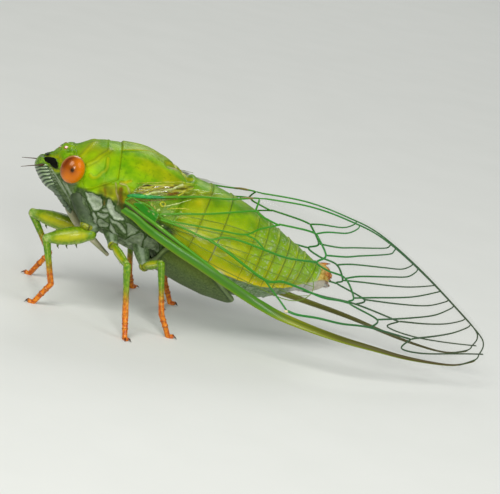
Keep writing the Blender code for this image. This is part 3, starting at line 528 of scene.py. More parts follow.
smallEyes = {
    "places": ((1.88, 0.0, 2.28), (2.24, -1.30, 2.62), (2.24, 1.30, 2.62)),
    "lookFrom": (2.9, 0, 0.9),
    "radius": 0.24,
    "rows": 26,
    "sides": 36,
}
cheekBars = (  # the face's ridges run on over the cheek
    ((1.0, 1.72, 0.10), (1.26, 1.93, 0.24), (1.46, 2.25, 0.37)),
    ((1.25, 1.79, -0.08), (1.48, 2.15, 0.06), (1.71, 2.52, 0.21)),
    ((1.40, 1.85, -0.32), (1.70, 2.32, -0.13), (1.91, 2.66, 0.01)),
    ((1.65, 1.9, -0.52), (1.92, 2.43, -0.32), (2.12, 2.75, -0.19)),
    ((1.9, 2.0, -0.72), (2.15, 2.48, -0.53), (2.33, 2.78, -0.41)),
    ((2.15, 2.0, -0.93), (2.38, 2.47, -0.74), (2.5, 2.72, -0.65)),
    ((2.42, 2.0, -1.15), (2.61, 2.44, -0.96), (2.68, 2.6, -0.9)),
)
headLines = (  # on the cheek: the seams of its plates
    ((1.5, 2.3, 0.2), (2.3, 2.95, -0.3), (3.1, 3.2, -0.9), (3.9, 3.2, -1.6), (4.5, 2.8, -2.2)),
    ((3.2, 3.6, -0.35), (3.8, 3.7, -0.9), (4.3, 3.6, -1.3), (4.9, 3.3, -1.9)),
)


def shapeBody():
    places = evenPlaces(bodyRibs, skin["rows"], skin["rowDensity"])
    turns = aroundCircle(skin["sides"])
    grid = ribGrid(bodyRibs, places, turns)
    closing, closed = skin["closing"]
    ends = np.sqrt(1 - unit((places - closing) / closed) ** 2)[:, None, None]
    middles = grid.mean(axis=1, keepdims=True)
    grid = middles + (grid - middles) * ends
    normal = normalsOf(grid)
    x, y, z = grid[..., 0], grid[..., 1], grid[..., 2]
    place = np.broadcast_to(places[:, None], x.shape)
    fromTop = degreesFrom(90, turns) * np.ones_like(x)
    around = fromTop * perDegree
    near = np.stack([x, np.abs(y), z], axis=2)
    plan = np.stack([x, around], axis=2)
    rough, broad = lumps(grid, 0.35), lumps(grid + 7, 1.1)
    masks = {}

    def ringAt(at, width):  # a line across the body at a place along it
        return bell((place - at) * perPlace, width)

    # neck shield: inside it is above zero, in millimetres
    shield = np.minimum.reduce([
        (place - lookUp(fromTop, shieldFront)) * perPlace,
        (lookUp(place, shieldLow) - fromTop) * perDegree,
        (shieldBack - place) * perPlace,
    ])
    inShield = smoothStep(-0.06, 0.09, shield)
    move = inShield * skin["shieldRise"]
    underEdge = smoothStep(-0.02, 0.12, (fromTop - lookUp(place, flankTop)) * perDegree)
    underEdge = underEdge * within(place, 4.4, 5.0, 10.9, 11.3)
    move = move - underEdge * skin["flankInset"] * fade(125, 150, fromTop)
    grooves = [awayFromCurve(near, path, 0.2) for _, _, path in shieldGrooves]
    wavy = near + 0.06 * np.stack([rough, rough * 0, -rough], axis=2)
    squiggle = awayFromCurve(wavy, shieldGrooves[2][2], 0.2)
    for distance, (deep, wide, _) in zip(grooves, shieldGrooves):
        move = move - deep * bell(distance, wide) * inShield
    move = move + inShield * (
        0.05 * smoothStep(6.15, 6.4, place) + 0.04 * bell(shield - 0.08, 0.12) + 0.03 * broad)
    move = move - inShield * 0.05 * ringAt(6.2, 0.12) * fade(60, 75, fromTop)
    side = smoothStep(15, 35, fromTop)
    ochre = inShield * (
        0.5 * bell(grooves[0], 0.55) + 0.5 * bell(grooves[1], 0.5) + 0.6 * bell(squiggle - 0.05, 0.09)
        + 0.35 * bell(shield, 0.1) + 0.5 * bell(np.hypot(x - 5.1, (fromTop - 28) * perDegree / 1.2), 1) * side)
    dark = inShield * (
        0.25 * bell(grooves[1] - 0.22, 0.08) + 0.15 * bell(grooves[0] - 0.3, 0.08)
        + 0.20 * bell(squiggle - 0.2, 0.08))
    dark = dark + 0.18 * bell(shield, 0.06)
    bright = inShield * sum(share * bell(fromSpot(near, spot), wide) for share, wide, spot in brightSpots)

    # middle of the back
    inBack = within(place, 7.0, 7.1, 10.85, 10.95)
    inBack = inBack * smoothStep(-0.1, 0.1, (lookUp(place, backLow) - fromTop) * perDegree)
    stripes = [awayFromCurve(near, path, 0.3) for path in backStripes]
    move = move - 0.05 * inBack * (bell(stripes[0], 0.12) + bell(stripes[2], 0.1)) + 0.03 * inBack * broad
    ochre = ochre + inBack * (
        0.9 * bell(stripes[0], 0.10)
        + (0.6 + 0.2 * broad) * smoothStep(30, 38, fromTop) * fade(50, 60, fromTop)
        * smoothStep(7.3, 8.4, place)
        + 0.25 * fade(15, 30, fromTop))
    dark = dark + inBack * (
        0.35 * bell(stripes[1], 0.09) + 0.22 * smoothStep(0.3, 0.7, lumps(grid + 19, 0.18)) * side)
    arms = np.minimum(*(awayFrom(near[..., :2], arm) for arm in crossArms))
    onTop = smoothStep(0.5, 1.5, z) * smoothStep(11.6, 12.2, x) * fade(15.2, 15.4, x)
    boss = bell(np.hypot((x - 13.9) / 0.9, y / 1.5), 1.0)
    move = move + onTop * (0.34 * bell(arms, 0.42) + 0.22 * boss)
    ochre = ochre + onTop * 0.6 * bell(arms - 0.35, 0.15)
    dark = dark + onTop * 0.5 * bell(arms - 0.62, 0.10)
    tan = onTop * bell(np.hypot(x - 12.9, np.abs(y) - 1.5), 0.32)
    move = move - 0.16 * ringAt(11.0, 0.22) + 0.12 * ringAt(10.8, 0.2)

    # hard plates of the flank
    warped = plan + 0.10 * np.stack([rough, lumps(grid + 31, 0.4)], axis=2)
    warped = warped + 0.04 * np.stack([lumps(grid + 11, 0.13), lumps(grid + 17, 0.13)], axis=2)
    below = smoothStep(7.55, 7.8, around) * smoothStep(4.3, 4.7, x) * fade(11.0, 11.4, place)
    distances = np.sort(np.linalg.norm(warped[..., None, :] - underPlates, axis=-1), axis=-1)
    depth = (distances[..., 1] - distances[..., 0]) * 0.6
    depth = np.where((around > 11.2) & (x > 8.3), depth, -0.3)
    paleness = np.full_like(x, 0.35)
    for pale, outline in flankPlates:
        found = outlineDepth(warped, outline)
        paleness = np.where(found > depth, pale, paleness)
        depth = np.maximum(depth, found)
    depth = np.where(around > 13.0, np.maximum(depth, 0.12), depth)
    move = move + below * skin["plateRise"] * (smoothStep(-0.05, 0.32, depth) - 0.45)
    masks["pale"] = below * unit(paleness * (
        bell(depth - 0.12, 0.12) * 0.7 + 0.75 * smoothStep(0.05, 0.35, depth) * (0.8 + 0.7 * rough)))
    dark = dark + below * (0.9 * bell(depth + 0.03, 0.09) + 0.55 * fade(-0.3, -0.05, depth))
    masks["powder"] = below * smoothStep(7.7, 7.95, around)
    # where the wings are hung, below the neck shield's edge: an ochre tone, darkened by painted shade
    hinge = within(around, 6.2, 7.2, 7.7, 8.3) * smoothStep(6.2, 7.0, x)
    ochre = ochre + 0.8 * hinge * fade(11.5, 13, x)
    dark = dark + 0.40 * hinge * fade(11.5, 13, x) * (1 + rough)
    hollow = bell(awayFrom(plan, hingeHollow) + 0.05 * rough, 0.24)
    streak = 0.7 * bell(awayFrom(plan, hingeStreak) + 0.08 * rough, 0.12)
    masks["amber"] = np.maximum(streak, hollow) * (1 - inShield)
    ridges = [bell(awayFromCurve(plan, line, 0.1) + 0.04 * rough, half) for half, line in hingeRidges]
    masks["rose"] = np.maximum.reduce(ridges) * (0.75 + 0.25 * lumps(grid + 2, 0.25))
    pocket = bell(fromSpot(plan, hingePocket), 0.2)
    tuft = bell(awayFrom(plan, hingeTuft) + 0.04 * rough, 0.13)
    move = move + 0.16 * masks["rose"] - 0.14 * hollow - 0.10 * pocket + 0.08 * tuft * (1 + rough)
    ochre = ochre + tuft

    # rings of the abdomen
    rings = skin["ringPlaces"]
    ring = np.interp(place, rings, np.arange(len(rings)))
    part = ring - np.floor(ring)
    ringLength = np.interp(ring, np.arange(len(rings)), np.gradient(rings)) * perPlace
    onRings = within(place, 11.0, 11.1, 17.8, 17.95)
    fore, rear = part * ringLength, (1 - part) * ringLength
    step = smoothStep(0.0, 0.16, fore) * fade(0.05, 0.0, rear)
    move = move + onRings * (skin["ringStep"] * (step * (0.45 + 0.55 * part) - 0.70) + 0.012 * rough)
    dark = dark + onRings * 0.75 * bell(fore, 0.07) * fade(118, 124, fromTop)
    # the rings turn yellow-gold towards their lower sides; where the sides face down the colour is also made
    # brighter, as painted light
    masks["gold"] = onRings * unit(
        smoothStep(30, 95, fromTop) * (1 - 0.7 * smoothStep(13.0, 15.8, place)) * (0.9 + 0.3 * broad))
    ochre = ochre + onRings * (
        0.35 * smoothStep(40, 108, fromTop) + 0.12 * broad + 0.22 * smoothStep(0.25, 0.05, rear))
    masks["yellow"] = onRings * unit(
        bell((fromTop - 113) * perDegree, 0.42) * smoothStep(11.6, 12.6, place) * fade(16.2, 16.8, place)
        + 0.5 * bell(fromSpot(near, (16.4, 3.6, 2.9)), 0.5))
    bloom = onRings * smoothStep(13.4, 14.6, place) * smoothStep(0.12, 0.35, part) * fade(0.75, 0.95, part)
    masks["bloom"] = bloom * smoothStep(30, 70, fromTop) * fade(95, 110, fromTop)
    dots = smoothStep(0.25, 0.6, lumps(grid + 3, 0.16)) * bloom
    # a painted highlight: a small white patch on the abdomen's side, where it glints
    paintedGlint = bell(np.linalg.norm((plan - (20.95, 9.68)) / (0.42, 0.24) + 0.5 * rough[..., None], axis=2), 1.0)
    flecks = onRings * bell((place - 12.64) * perPlace + 0.05 * rough, 0.06)
    flecks = flecks * smoothStep(75, 85, fromTop) * fade(104, 110, fromTop)
    masks["pale"] = (
        masks["pale"] + 0.45 * dots + paintedGlint + 0.6 * flecks * smoothStep(0.0, 0.4, lumps(grid + 5, 0.2)))
    move = move + 0.02 * dots

    # belly and the body's end
    limit = lookUp(place, bellyLimit)
    masks["pale"] = masks["pale"] + 0.7 * ringAt(17.68, 0.10) * smoothStep(-0.5, 0.3, rough)
    crease = (0.10 + 0.06 * smoothStep(17.3, 18.0, place)) * bell((fromTop - limit) * perDegree, 0.14)
    move = move - crease * smoothStep(11.2, 11.6, place)
    masks["belly"] = smoothStep(-1, 1, fromTop - limit) * smoothStep(11.0, 11.4, place)
    soft = 1 + 7 * smoothStep(16.8, 17.3, place)
    masks["silver"] = smoothStep(-soft, soft, fromTop - limit) * smoothStep(16.2, 16.8, place)
    masks["tip"] = smoothStep(17.72, 17.9, place) * (1 - 0.8 * masks["silver"])
    timbal = np.hypot((x - 16.2) / 1.25, (fromTop - 62) * perDegree / 1.5)
    move = move + 0.14 * fade(0.55, 1.0, timbal)

    # head
    onHead = fade(3.6, 4.4, place)
    behindEdge = (lookUp(fromTop, shieldFront) - place) * perPlace
    patch = outlineDepth(near[..., 1:] + 0.03 * rough[..., None], blackPatch)
    inPatch = smoothStep(-0.02, 0.05, patch) * onHead * fade(2.6, 2.9, x)
    top = bell(np.linalg.norm((near - (0.72, 0.5, 1.32)) * (1, 0.8, 1), axis=2) + 0.05 * rough, 0.40)
    masks["black"] = unit(inPatch + 1.2 * top)
    brow = bell(awayFromCurve(near, browLedge, 0.1), 0.26) * onHead
    shelf = bell(awayFromCurve(near, feelerLedge, 0.1), 0.20) * onHead
    move = (
        move - 0.13 * inPatch + 0.19 * brow * (1 + 0.7 * rough) * (1 - inPatch) + 0.08 * shelf * (1 - inPatch))
    crown = onHead * fade(50, 72, fromTop) * (1 - inPatch) * (1 - brow * 0.6)
    move = move + crown * (lumps(near, 0.55) * 0.07 + lumps(near * (1, 1, 2.2), 0.28) * 0.04)
    furrow = bell(lumps(near * (1, 1.6, 1), 0.42), 0.12)
    dark = dark + crown * (
        0.42 * furrow * smoothStep(-0.2, 0.4, broad + 0.3) + 0.2 * smoothStep(0.1, 0.5, -rough))
    eyeForm = np.linalg.norm((near - stance["eye"]) / eyeRadii, axis=2)
    move = move + onHead * 0.08 * bell(eyeForm - 1.08, 0.06)
    ochre = ochre + onHead * (0.85 * brow + 0.8 * shelf) + 0.5 * bell(eyeForm - 1.07, 0.05) * (place < 4.4)
    dark = dark + onHead * 0.35 * bell(eyeForm - 1.16, 0.05) + 0.3 * bell(behindEdge - 0.06, 0.06) * onHead
    bars = np.minimum.reduce([awayFromCurve(near, path, 0.15) for path in cheekBars])
    onBars = smoothStep(0.30, 0.15, bars) * onHead
    barCrest = bell(bars, 0.085) * onHead
    move = move + 0.045 * barCrest - 0.015 * onBars
    cheek = onHead * smoothStep(80, 90, fromTop) * (1 - shelf)
    masks["powder"] = np.maximum(masks["powder"], cheek)
    for line in headLines:
        distance = awayFromCurve(near, line, 0.2)
        move = move - onHead * 0.06 * bell(distance, 0.10)
        dark = dark + onHead * 0.6 * bell(distance, 0.07)
        masks["pale"] = masks["pale"] + onHead * 0.45 * bell(distance - 0.16, 0.07)
    dark = dark * (1 - barCrest) + 0.40 * onBars * (1 - barCrest)
    masks["pale"] = unit(masks["pale"] + 0.35 * cheek * bell(eyeForm - 1.1, 0.05) + 0.3 * barCrest)
    for centre in smallEyes["places"]:
        distance = fromSpot(grid, centre)
        move = move + 0.07 * bell(distance - 0.30, 0.12)
        dark = dark * (1 - 0.7 * bell(distance - 0.3, 0.15))
    base = fromSpot(near, feelerBase)
    move = move + 0.10 * bell(base - 0.26, 0.09)
    masks["amber"] = np.maximum(masks["amber"], 0.8 * bell(base - 0.24, 0.08))

    masks.update(dark=unit(dark), ochre=unit(ochre), bright=unit(bright), tan=unit(tan))
    return grid + normal * (move + 0.012 * masks["powder"] * lumps(grid, 0.12))[..., None], masks


def makeBody(look):
    grid, masks = shapeBody()
    heap = Heap()
    heap.addGrid(grid, flip=True, **masks)
    heap.piece("bodySkin", look, "green_shell", "head", "pronotum", "mesothorax", "abdomen", "abdomen_tip")


def shellLook():
    look = Look("greenShell", {
        "Roughness": 0.40, "Specular IOR Level": 0.25, "Coat Weight": 0.03, "Coat Roughness": 0.2,
        "Specular Tint": (0.75, 0.9, 0.3, 1.0)})
    soft, fine = look.noise(1.3), look.noise(0.16)
    patches, mottle = look.between(0.3, 0.7, soft), look.mottle(0.3, 0.35)
    lime = look.mix(look.between(0.35, 0.65, soft), (92, 144, 0), (126, 166, 0))
    colour = look.paint(lime, (
        ("bright", (148, 190, 0)),
        ("ochre", look.mix(patches, (138, 142, 0), (168, 164, 4))),
        # yellow-gold sides of the rings, brightened as painted light where they face down
        ("gold", look.mix(patches, (148, 170, 0), (178, 184, 0))),
        ("powder", look.mix(mottle, (58, 80, 42), (104, 124, 82))),
        ("bloom", (138, 182, 44), soft * 0.9 + 0.15),
        ("yellow", look.mix(soft, (196, 186, 0), (220, 200, 20))),
        ("belly", look.mix(look.mottle(0.3, 0.3), (80, 110, 66), (126, 148, 112))),
        ("silver", look.mix(fine, (150, 150, 140), (206, 204, 200))),
        ("tip", look.mix(mottle, *creamColours)),
        # pale: pale plates, seams and dots, and one painted highlight on the abdomen's side
        ("pale", look.mix(fine, (142, 158, 132), (206, 214, 198))),
        ("amber", look.mix(fine, (84, 44, 2), (130, 84, 8))),
        ("rose", look.mix(fine, (150, 150, 70), (210, 180, 150))),
        ("tan", (206, 168, 120)),
        # dark: dark lines and seams, and painted shade below the neck shield's edge
        ("dark", (30, 56, 14)),
        ("black", (5, 5, 5)),
    ))
    powdered = look.mask("powder") * (1 - look.mask("black"))
    rough = 0.36 + powdered * 0.35 - look.mask("black") * 0.2 + fine * 0.12
    grain = look.grains(0.10) * (0.4 + powdered * 0.8) + fine * (0.5 + powdered)
    return look.feed(Base_Color=colour, Roughness=rough, Normal=look.relief(grain, 0.02))


makeBody(shellLook())
print("body: one skin from the head to the tail")

face = {
    "rows": 300,
    "sides": 160,
    "ridges": 7,
    "firstRidge": 1.3,  # between the face's ribs
    "lastRidge": 4.3,
    "ridgeRise": 0.07,
    "slant": 1.0,  # the ridges climb sideways by this many steps
    "seams": (5.05, 6.6),  # between the face's plates
    "seamSlant": 0.25,
    "perPlace": 0.9,  # millimetres
}


def makeFace(look):
    places = evenPlaces(faceRibs, face["rows"])
    turns = aroundCircle(face["sides"])
    grid = ribGrid(faceRibs, places, turns)
    place = np.broadcast_to(places[:, None], grid.shape[:2])
    fromMiddle = degreesFrom(-90, turns) * np.ones_like(place)
    steps = (place - face["firstRidge"]) / (face["lastRidge"] - face["firstRidge"]) * face["ridges"]
    steps = steps + face["slant"] * smoothStep(10, 75, fromMiddle)
    onRidges = within(steps, -0.2, 0.2, face["ridges"] - 0.3, face["ridges"] + 0.2) * fade(92, 104, fromMiddle)
    wave = 0.5 + 0.5 * np.cos((steps - 0.5) * 2 * math.pi)
    move = onRidges * face["ridgeRise"] * (wave - 0.6) * (0.35 + 0.65 * smoothStep(5, 30, fromMiddle))
    move = move + 0.03 * lumps(grid, 0.5) + 0.012 * lumps(grid, 0.15)

    def seamLines(behind, width):
        slant = face["seamSlant"] * smoothStep(0, 60, fromMiddle)
        return sum(bell((place - seam - behind - slant) * face["perPlace"], width) for seam in face["seams"])

    seams = seamLines(0, 0.07)
    keel = bell(fromMiddle, 16) * smoothStep(5.2, 5.6, place)
    move = move - 0.07 * seams + 0.10 * keel
    masks = {
        "seam": unit(seams) * 0.8,
        "pale": unit(0.6 * seamLines(0.35, 0.1) + 0.5 * bell(fromMiddle - 62, 9) * smoothStep(1.6, 2.4, place)),
        "ridge": onRidges * smoothStep(0.4, 0.7, wave),
        "dark": onRidges * smoothStep(0.4, 0.75, 1 - wave) * 0.95,
        "top": fade(1.0, 1.5, place),
    }
    heap = Heap()
    heap.addGrid(grid + normalsOf(grid) * move[..., None], flip=True, **masks)
    heap.piece("faceFront", look, "green_shell")


def faceLook():
    look = Look("ridgedFace", {"Roughness": 0.38, "Coat Weight": 0.2})
    fine, wide = look.noise(0.2), look.noise(0.5)
    wrinkles = look.between(0.44, 0.5, wide) * look.between(0.56, 0.5, wide)
    colour = look.paint(look.mix(look.between(0.35, 0.65, fine), (42, 64, 32), (86, 106, 74)), (
        ("top", look.mix(wrinkles * 0.7, look.mix(fine, (84, 136, 14), (134, 172, 30)), (30, 60, 10))),
        ("ridge", (140, 160, 120)),
        ("pale", (112, 132, 104)),
        ("seam", (40, 62, 44)),
        ("dark", (26, 52, 16)),
    ))
    return look.feed(Base_Color=colour, Normal=look.relief(fine + look.grains(0.08) * 0.4, 0.015))


makeFace(faceLook())
print("face: ridged front")

eyes = {
    "rows": 120,
    "sides": 160,
    "spot": (-0.05, 0.97, 0.04),  # the dark spot, on a ball of radius 1
    "spotWidth": 0.15,
    "halo": (-0.12, 0.0, 0.14),  # from the spot
}


def ballGrid(rows, columns):  # a ball of radius 1 round the z axis
    tilt, turns = np.linspace(0, math.pi, rows)[1:-1, None], aroundCircle(columns)
    return np.stack([
        np.sin(tilt) * np.cos(turns), np.sin(tilt) * np.sin(turns), np.cos(tilt) * np.ones(columns)], axis=2)


def makeEye(word, side, look):
    ball = ballGrid(eyes["rows"], eyes["sides"])[..., [0, 2, 1]] * (1, side, 1)
    spot = np.array(eyes["spot"]) * (1, side, 1)
    toSpot = fromSpot(ball, spot / np.linalg.norm(spot))
    heap = Heap()
    heap.addGrid(
        np.array(stance["eye"]) * (1, side, 1) + ball * eyeRadii, flip=side < 0,
        spot=bell(toSpot, eyes["spotWidth"]) + 0.45 * bell(fromSpot(ball - spot, eyes["halo"]), 0.30),
        deep=bell(toSpot, 0.55), upper=smoothStep(-0.1, 1.0, ball[..., 2] * 0.45 - ball[..., 0] * 0.95),
        rim=fade(0.25, 0.42, ball[..., 1] * side))
    heap.piece("eye" + word.title(), look, "eye", "eye_" + word)


def eyeLook():
    look = Look("orangeEye", {
        "Roughness": 0.3, "Coat Weight": 0.35, "Coat Roughness": 0.10, "Specular IOR Level": 0.3,
        "Specular Tint": (1.0, 0.7, 0.4, 1.0)})
    colour = look.paint((216, 118, 0), (("upper", (96, 30, 0)), ("deep", (120, 44, 0), 0.65)))
    colour = look.mix(look.between(0.45, 0.75, look.noise(0.8)) * 0.3, colour, (216, 116, 0))
    colour = look.paint(colour, (("rim", (176, 120, 50)), ("spot", (34, 8, 0))))
    return look.feed(Base_Color=colour, Normal=look.relief(look.grains(0.05), 0.003))


eyeMaterial = eyeLook()
for word, side in bothSides:
    makeEye(word, side, eyeMaterial)
print("eyes: two")


def makeSmallEyes(look):
    heap = Heap()
    ball = ballGrid(smallEyes["rows"], smallEyes["sides"])
    for centre in np.array(smallEyes["places"]):
        way = centre - smallEyes["lookFrom"]
        # middle: the outward cap of each small eye, painted pinkish white as a highlight on the lens
        heap.addGrid(
            centre + ball * smallEyes["radius"],
            middle=smoothStep(0.70, 0.85, ball @ (way / np.linalg.norm(way))))
    heap.piece("smallEyes", look, "eye")


def smallEyeLook():
    look = Look("smallEye", {"Roughness": 0.12, "Coat Weight": 0.6, "Coat Roughness": 0.05})
    ring = look.mix(look.noise(0.2), (120, 24, 6), (170, 60, 14))
    # a red ring round a painted highlight
    return look.feed(Base_Color=look.mix(look.mask("middle"), ring, (244, 206, 206)))


makeSmallEyes(smallEyeLook())

feelers = {
    "path": ((1.40, 1.30, 0.34), (1.00, 1.60, 0.32), (0.70, 1.80, 0.28), (-0.20, 2.35, -0.05),
             (-1.30, 3.00, -0.50)),
    "radii": (0.17, 0.17, 0.16, 0.13, 0.12, 0.065, 0.06, 0.05, 0.045, 0.04, 0.035, 0.03, 0.025),
    "sides": 14,
    "spacing": 0.06,
}
beak = {
    "path": ((4.9, 0.0, -3.0), (6.20, 0.0, -4.15), (7.80, 0.0, -4.95), (10.20, 0.0, -6.05)),
    "radii": (0.50, 0.42, 0.34, 0.20),
    "sides": 24,
    "spacing": 0.06,
}


def makeRod(name, rod, side, look, slot, node):
    heap = Heap()
    path = np.array(rod["path"]) * (1, side, 1)
    addLimb(heap, path, rod["radii"], fromBody, sides=rod["sides"], spacing=rod["spacing"])
    heap.piece(name, look, slot, node)


def rodLook(name, first, second, size):
    look = Look(name, {"Roughness": 0.4})
    colour = look.mix(look.noise(size), first, second)
    return look.feed(Base_Color=colour, Normal=look.relief(look.noise(size / 3), 0.02))


bristleLook = rodLook("bristleDark", (40, 24, 12), (86, 56, 24), 0.2)
for word, side in bothSides:
    makeRod("antenna" + word.title(), feelers, side, bristleLook, "bristle", "antenna_" + word)
beakLook = rodLook("beakGreen", (120, 140, 90), (190, 176, 150), 0.5)
makeRod("rostrumBeak", beak, 1, beakLook, "powdery_underside", "rostrum")
print("feelers and beak")

tailEnd = {
    "scoop": (  # the last plate below: x, z of its keel, half width, height of its sides
        (29.2, -2.38, 1.70, 0.80), (30.2, -1.86, 1.48, 1.00), (31.0, -1.42, 1.18, 1.05),
        (31.7, -1.08, 0.82, 0.92), (32.2, -0.88, 0.40, 0.45), (32.5, -0.74, 0.06, 0.10),
    ),
    "scoopRows": 120,
    "scoopColumns": 40,
    "lobe": ((30.6, 0.0, 0.35), (31.2, 0.0, 0.42), (31.7, 0.0, 0.40), (32.05, 0.0, 0.30)),
    "lobeRadii": (0.95, 0.85, 0.66, 0.36),
    "spines": (  # root, tip, half width
        ((30.75, 0.0, 1.05), (31.65, 0.0, 1.52), 0.24), ((31.35, 0.5, 0.45), (32.25, 0.72, 0.30), 0.24),
        ((31.35, -0.5, 0.45), (32.25, -0.72, 0.30), 0.24), ((31.6, 0.22, 0.10), (32.4, 0.26, -0.06), 0.15),
        ((31.6, -0.22, 0.10), (32.4, -0.26, -0.06), 0.15),
    ),
    "lobeHairs": 60,
    "scoopHairs": 50,
}


def makeTail(look):
    heap = Heap()
    lobe = addLimb(
        heap, tailEnd["lobe"], tailEnd["lobeRadii"], fromBody, spacing=0.03, sides=64,
        masks={"cream": lambda share, turn: fade(0.5, 0.72, share)},
        bumps=lambda grid, share, turn: 0.04 * lumps(grid, 0.35) + 0.015 * lumps(grid, 0.12))
    addHairs(heap, lobe, tailEnd["lobeHairs"], 0.3, fromBody, end=0.3)
    for root, tip, half in tailEnd["spines"]:
        root, tip = np.array(root), np.array(tip)
        addLimb(heap, (root, (root + tip) / 2 + (0, 0, 0.06), tip), (half, half * 0.6, 0.03), fromBody,
                spacing=0.03, sides=24, masks={"end": lambda share, turn: smoothStep(0.45, 1.0, share)})
    rows, columns = tailEnd["scoopRows"], tailEnd["scoopColumns"]
    x, low, wide, high = curveAt(tailEnd["scoop"], np.linspace(0, 5, rows)).T[:, :, None]
    turn = np.linspace(-1, 1, columns)[None]
    outer = np.stack([x + 0 * turn, wide * np.sin(turn * 1.5), low + high * (1 - np.cos(turn * 1.5))], axis=2)
    inner = outer * (1, 0.94, 1) + (0, 0, 0.07)
    edge = np.concatenate([np.abs(turn), np.abs(turn)], axis=1) * np.ones((rows, 1))
    heap.addGrid(
        np.concatenate([outer, inner[:, ::-1]], axis=1), flip=True, silver=1 - 0.5 * smoothStep(0.9, 1.0, edge))
    addHairs(heap, outer, tailEnd["scoopHairs"], 0.25, fromBody, end=0.3)
    heap.piece("tailPlates", look, "abdomen_shell")


def tailLook():
    look = Look("tailHorn", {"Roughness": 0.4, "Coat Weight": 0.15, "Specular IOR Level": 0.3})
    mottle = look.noise(0.35)
    colour = look.paint(look.mix(look.between(0.25, 0.75, mottle), (140, 72, 8), (206, 140, 50)), (
        ("cream", look.mix(look.between(0.3, 0.7, mottle), *creamColours)),
        ("silver", look.mix(look.mottle(0.3, 0.2), (120, 122, 108), (190, 186, 180))),
        ("end", (90, 36, 10)),
    ))
    return look.feed(Base_Color=colour, Normal=look.relief(look.noise(0.1), 0.02))


makeTail(tailLook())
print("tail")

soundPlates = {
    "plan": (
        (13.3, 0.5), (16.0, 0.4), (20.0, 0.5), (22.6, 1.0), (23.55, 2.0), (23.2, 3.3),
        (21.2, 5.1), (18.2, 6.3), (16.2, 6.4), (14.8, 5.4), (14.3, 3.8), (13.7, 1.8),
    ),
    "middle": (18.3, 2.3),
    "rings": 70,
    "sides": 220,
    "thickness": 0.36,
    "distance": 0.75,
}


def platePlace(x, v, side):
    ribs = np.array(bodyRibs)
    spots = (ribs[:, 0] + ribs[:, 2]) / 2
    top, low, half = (np.interp(x, spots, ribs[:, k]) for k in (1, 3, 4))
    distance = soundPlates["distance"] - 1.1 * fade(13.2, 14.3, x) - 0.4 * smoothStep(4.4, 6.2, v)
    reach = (top - low) / 2 + distance
    turn = v / reach
    return np.stack(
        [x, side * (half + distance) * np.sin(turn), (top + low) / 2 - reach * np.cos(turn)], axis=-1)


def makePlate(word, side, look):
    rim = closedCurve(soundPlates["plan"], soundPlates["sides"])
    middle = np.array(soundPlates["middle"])
    flat = middle + (rim[None] - middle) * np.linspace(0.02, 1, soundPlates["rings"])[:, None, None]
    x, v = flat[..., 0], flat[..., 1]
    spots = platePlace(x, v, side)
    way = np.cross(platePlace(x + 0.02, v, side) - spots, platePlace(x, v + 0.02, side) - spots)
    way /= np.linalg.norm(way, axis=2, keepdims=True)
    way *= np.where(way[..., 2:] > 0, -1, 1)
    half = soundPlates["thickness"] / 2
    edge = awayFrom(flat, np.concatenate([rim, rim[:1]]))
    thick = half * np.sqrt(unit(1 - (1 - unit(edge / half)) ** 2))
    puff = 0.12 * smoothStep(0.1, 1.2, edge) + 0.05 * bell(edge - 0.22, 0.12) - 0.05 * bell(edge - 0.42, 0.07)
    outer = spots + way * (thick + puff)[..., None]
    inner = spots - way * thick[..., None]
    edge = np.concatenate([edge, edge[::-1][1:]])
    heap = Heap()
    heap.addGrid(
        np.concatenate([outer, inner[::-1][1:]]), flip=side > 0, rim=bell(edge - 0.15, 0.12),
        groove=bell(edge - 0.42, 0.07), upper=smoothStep(4.0, 6.0, np.concatenate([v, v[::-1][1:]])))
    heap.piece("operculum" + word.title(), look, "powdery_underside", "operculum_" + word)


def plateLook():
    look = Look("soundPlate", {"Roughness": 0.55, "Specular IOR Level": 0.25})
    base = look.mix(look.mottle(0.3, 0.22), (58, 78, 34), (88, 108, 56))
    base = look.mix(look.between(0.5, 0.75, look.noise(0.1)) * 0.5, base, (124, 142, 96))
    colour = look.paint(base, (
        ("upper", look.mix(look.noise(0.3), (70, 92, 10), (110, 124, 30))),
        ("rim", (140, 160, 110), 0.6),
        ("groove", (50, 72, 40), 0.7),
    ))
    return look.feed(Base_Color=colour, Normal=look.relief(look.noise(0.12) + look.grains(0.12) * 0.5, 0.010))


plateMaterial = plateLook()
for word, side in bothSides:
    makePlate(word, side, plateMaterial)
print("sound plates")

wings = {
    "corrugation": 0.05,
    "hindDepth": 1.05,
    "rootDepth": 1.3,  # how far the root dives into the body
    "foreNet": (400, 84),
    "hindNet": (300, 60),
    "veinSpacing": 0.14,
}
wingSides = (  # x, then how the folded wings stand off the body: z of the widest place, height, half width
    (7.0, 1.0, 4.2, 3.9), (9.0, 0.8, 4.6, 4.75), (11.0, 0.2, 5.3, 5.60), (13.0, -0.4, 6.0, 6.20),
    (16.0, -1.1, 6.7, 6.60), (20.0, -1.5, 7.1, 6.70), (24.0, -1.5, 7.2, 6.60),
)
foreLow = (
    (7.9, 0.3), (9.0, -0.5), (10.7, -1.1), (12.2, -1.6), (15.2, -2.3), (18.7, -3.0), (23.5, -4.1),
    (25.9, -4.5),
    (28.1, -4.7), (32.5, -4.65), (37.6, -4.4), (41.3, -4.3), (44.6, -4.0), (47.2, -3.5), (49.0, -2.6),
    (50.0, -1.2), (50.0, -0.5),
)
foreHigh = (
    (7.9, 1.3), (9.8, 2.0), (11.9, 3.0), (14.7, 3.9), (17.2, 4.4), (20.4, 4.9), (22.1, 5.2), (24.2, 5.7),
    (26.1, 6.3),
    (28.7, 6.8), (31.5, 6.9), (34.4, 6.7), (37.6, 5.9), (41.9, 4.2), (46.4, 2.3), (49.1, 0.9), (50.0, 0.0),
    (50.0, -0.5),
)
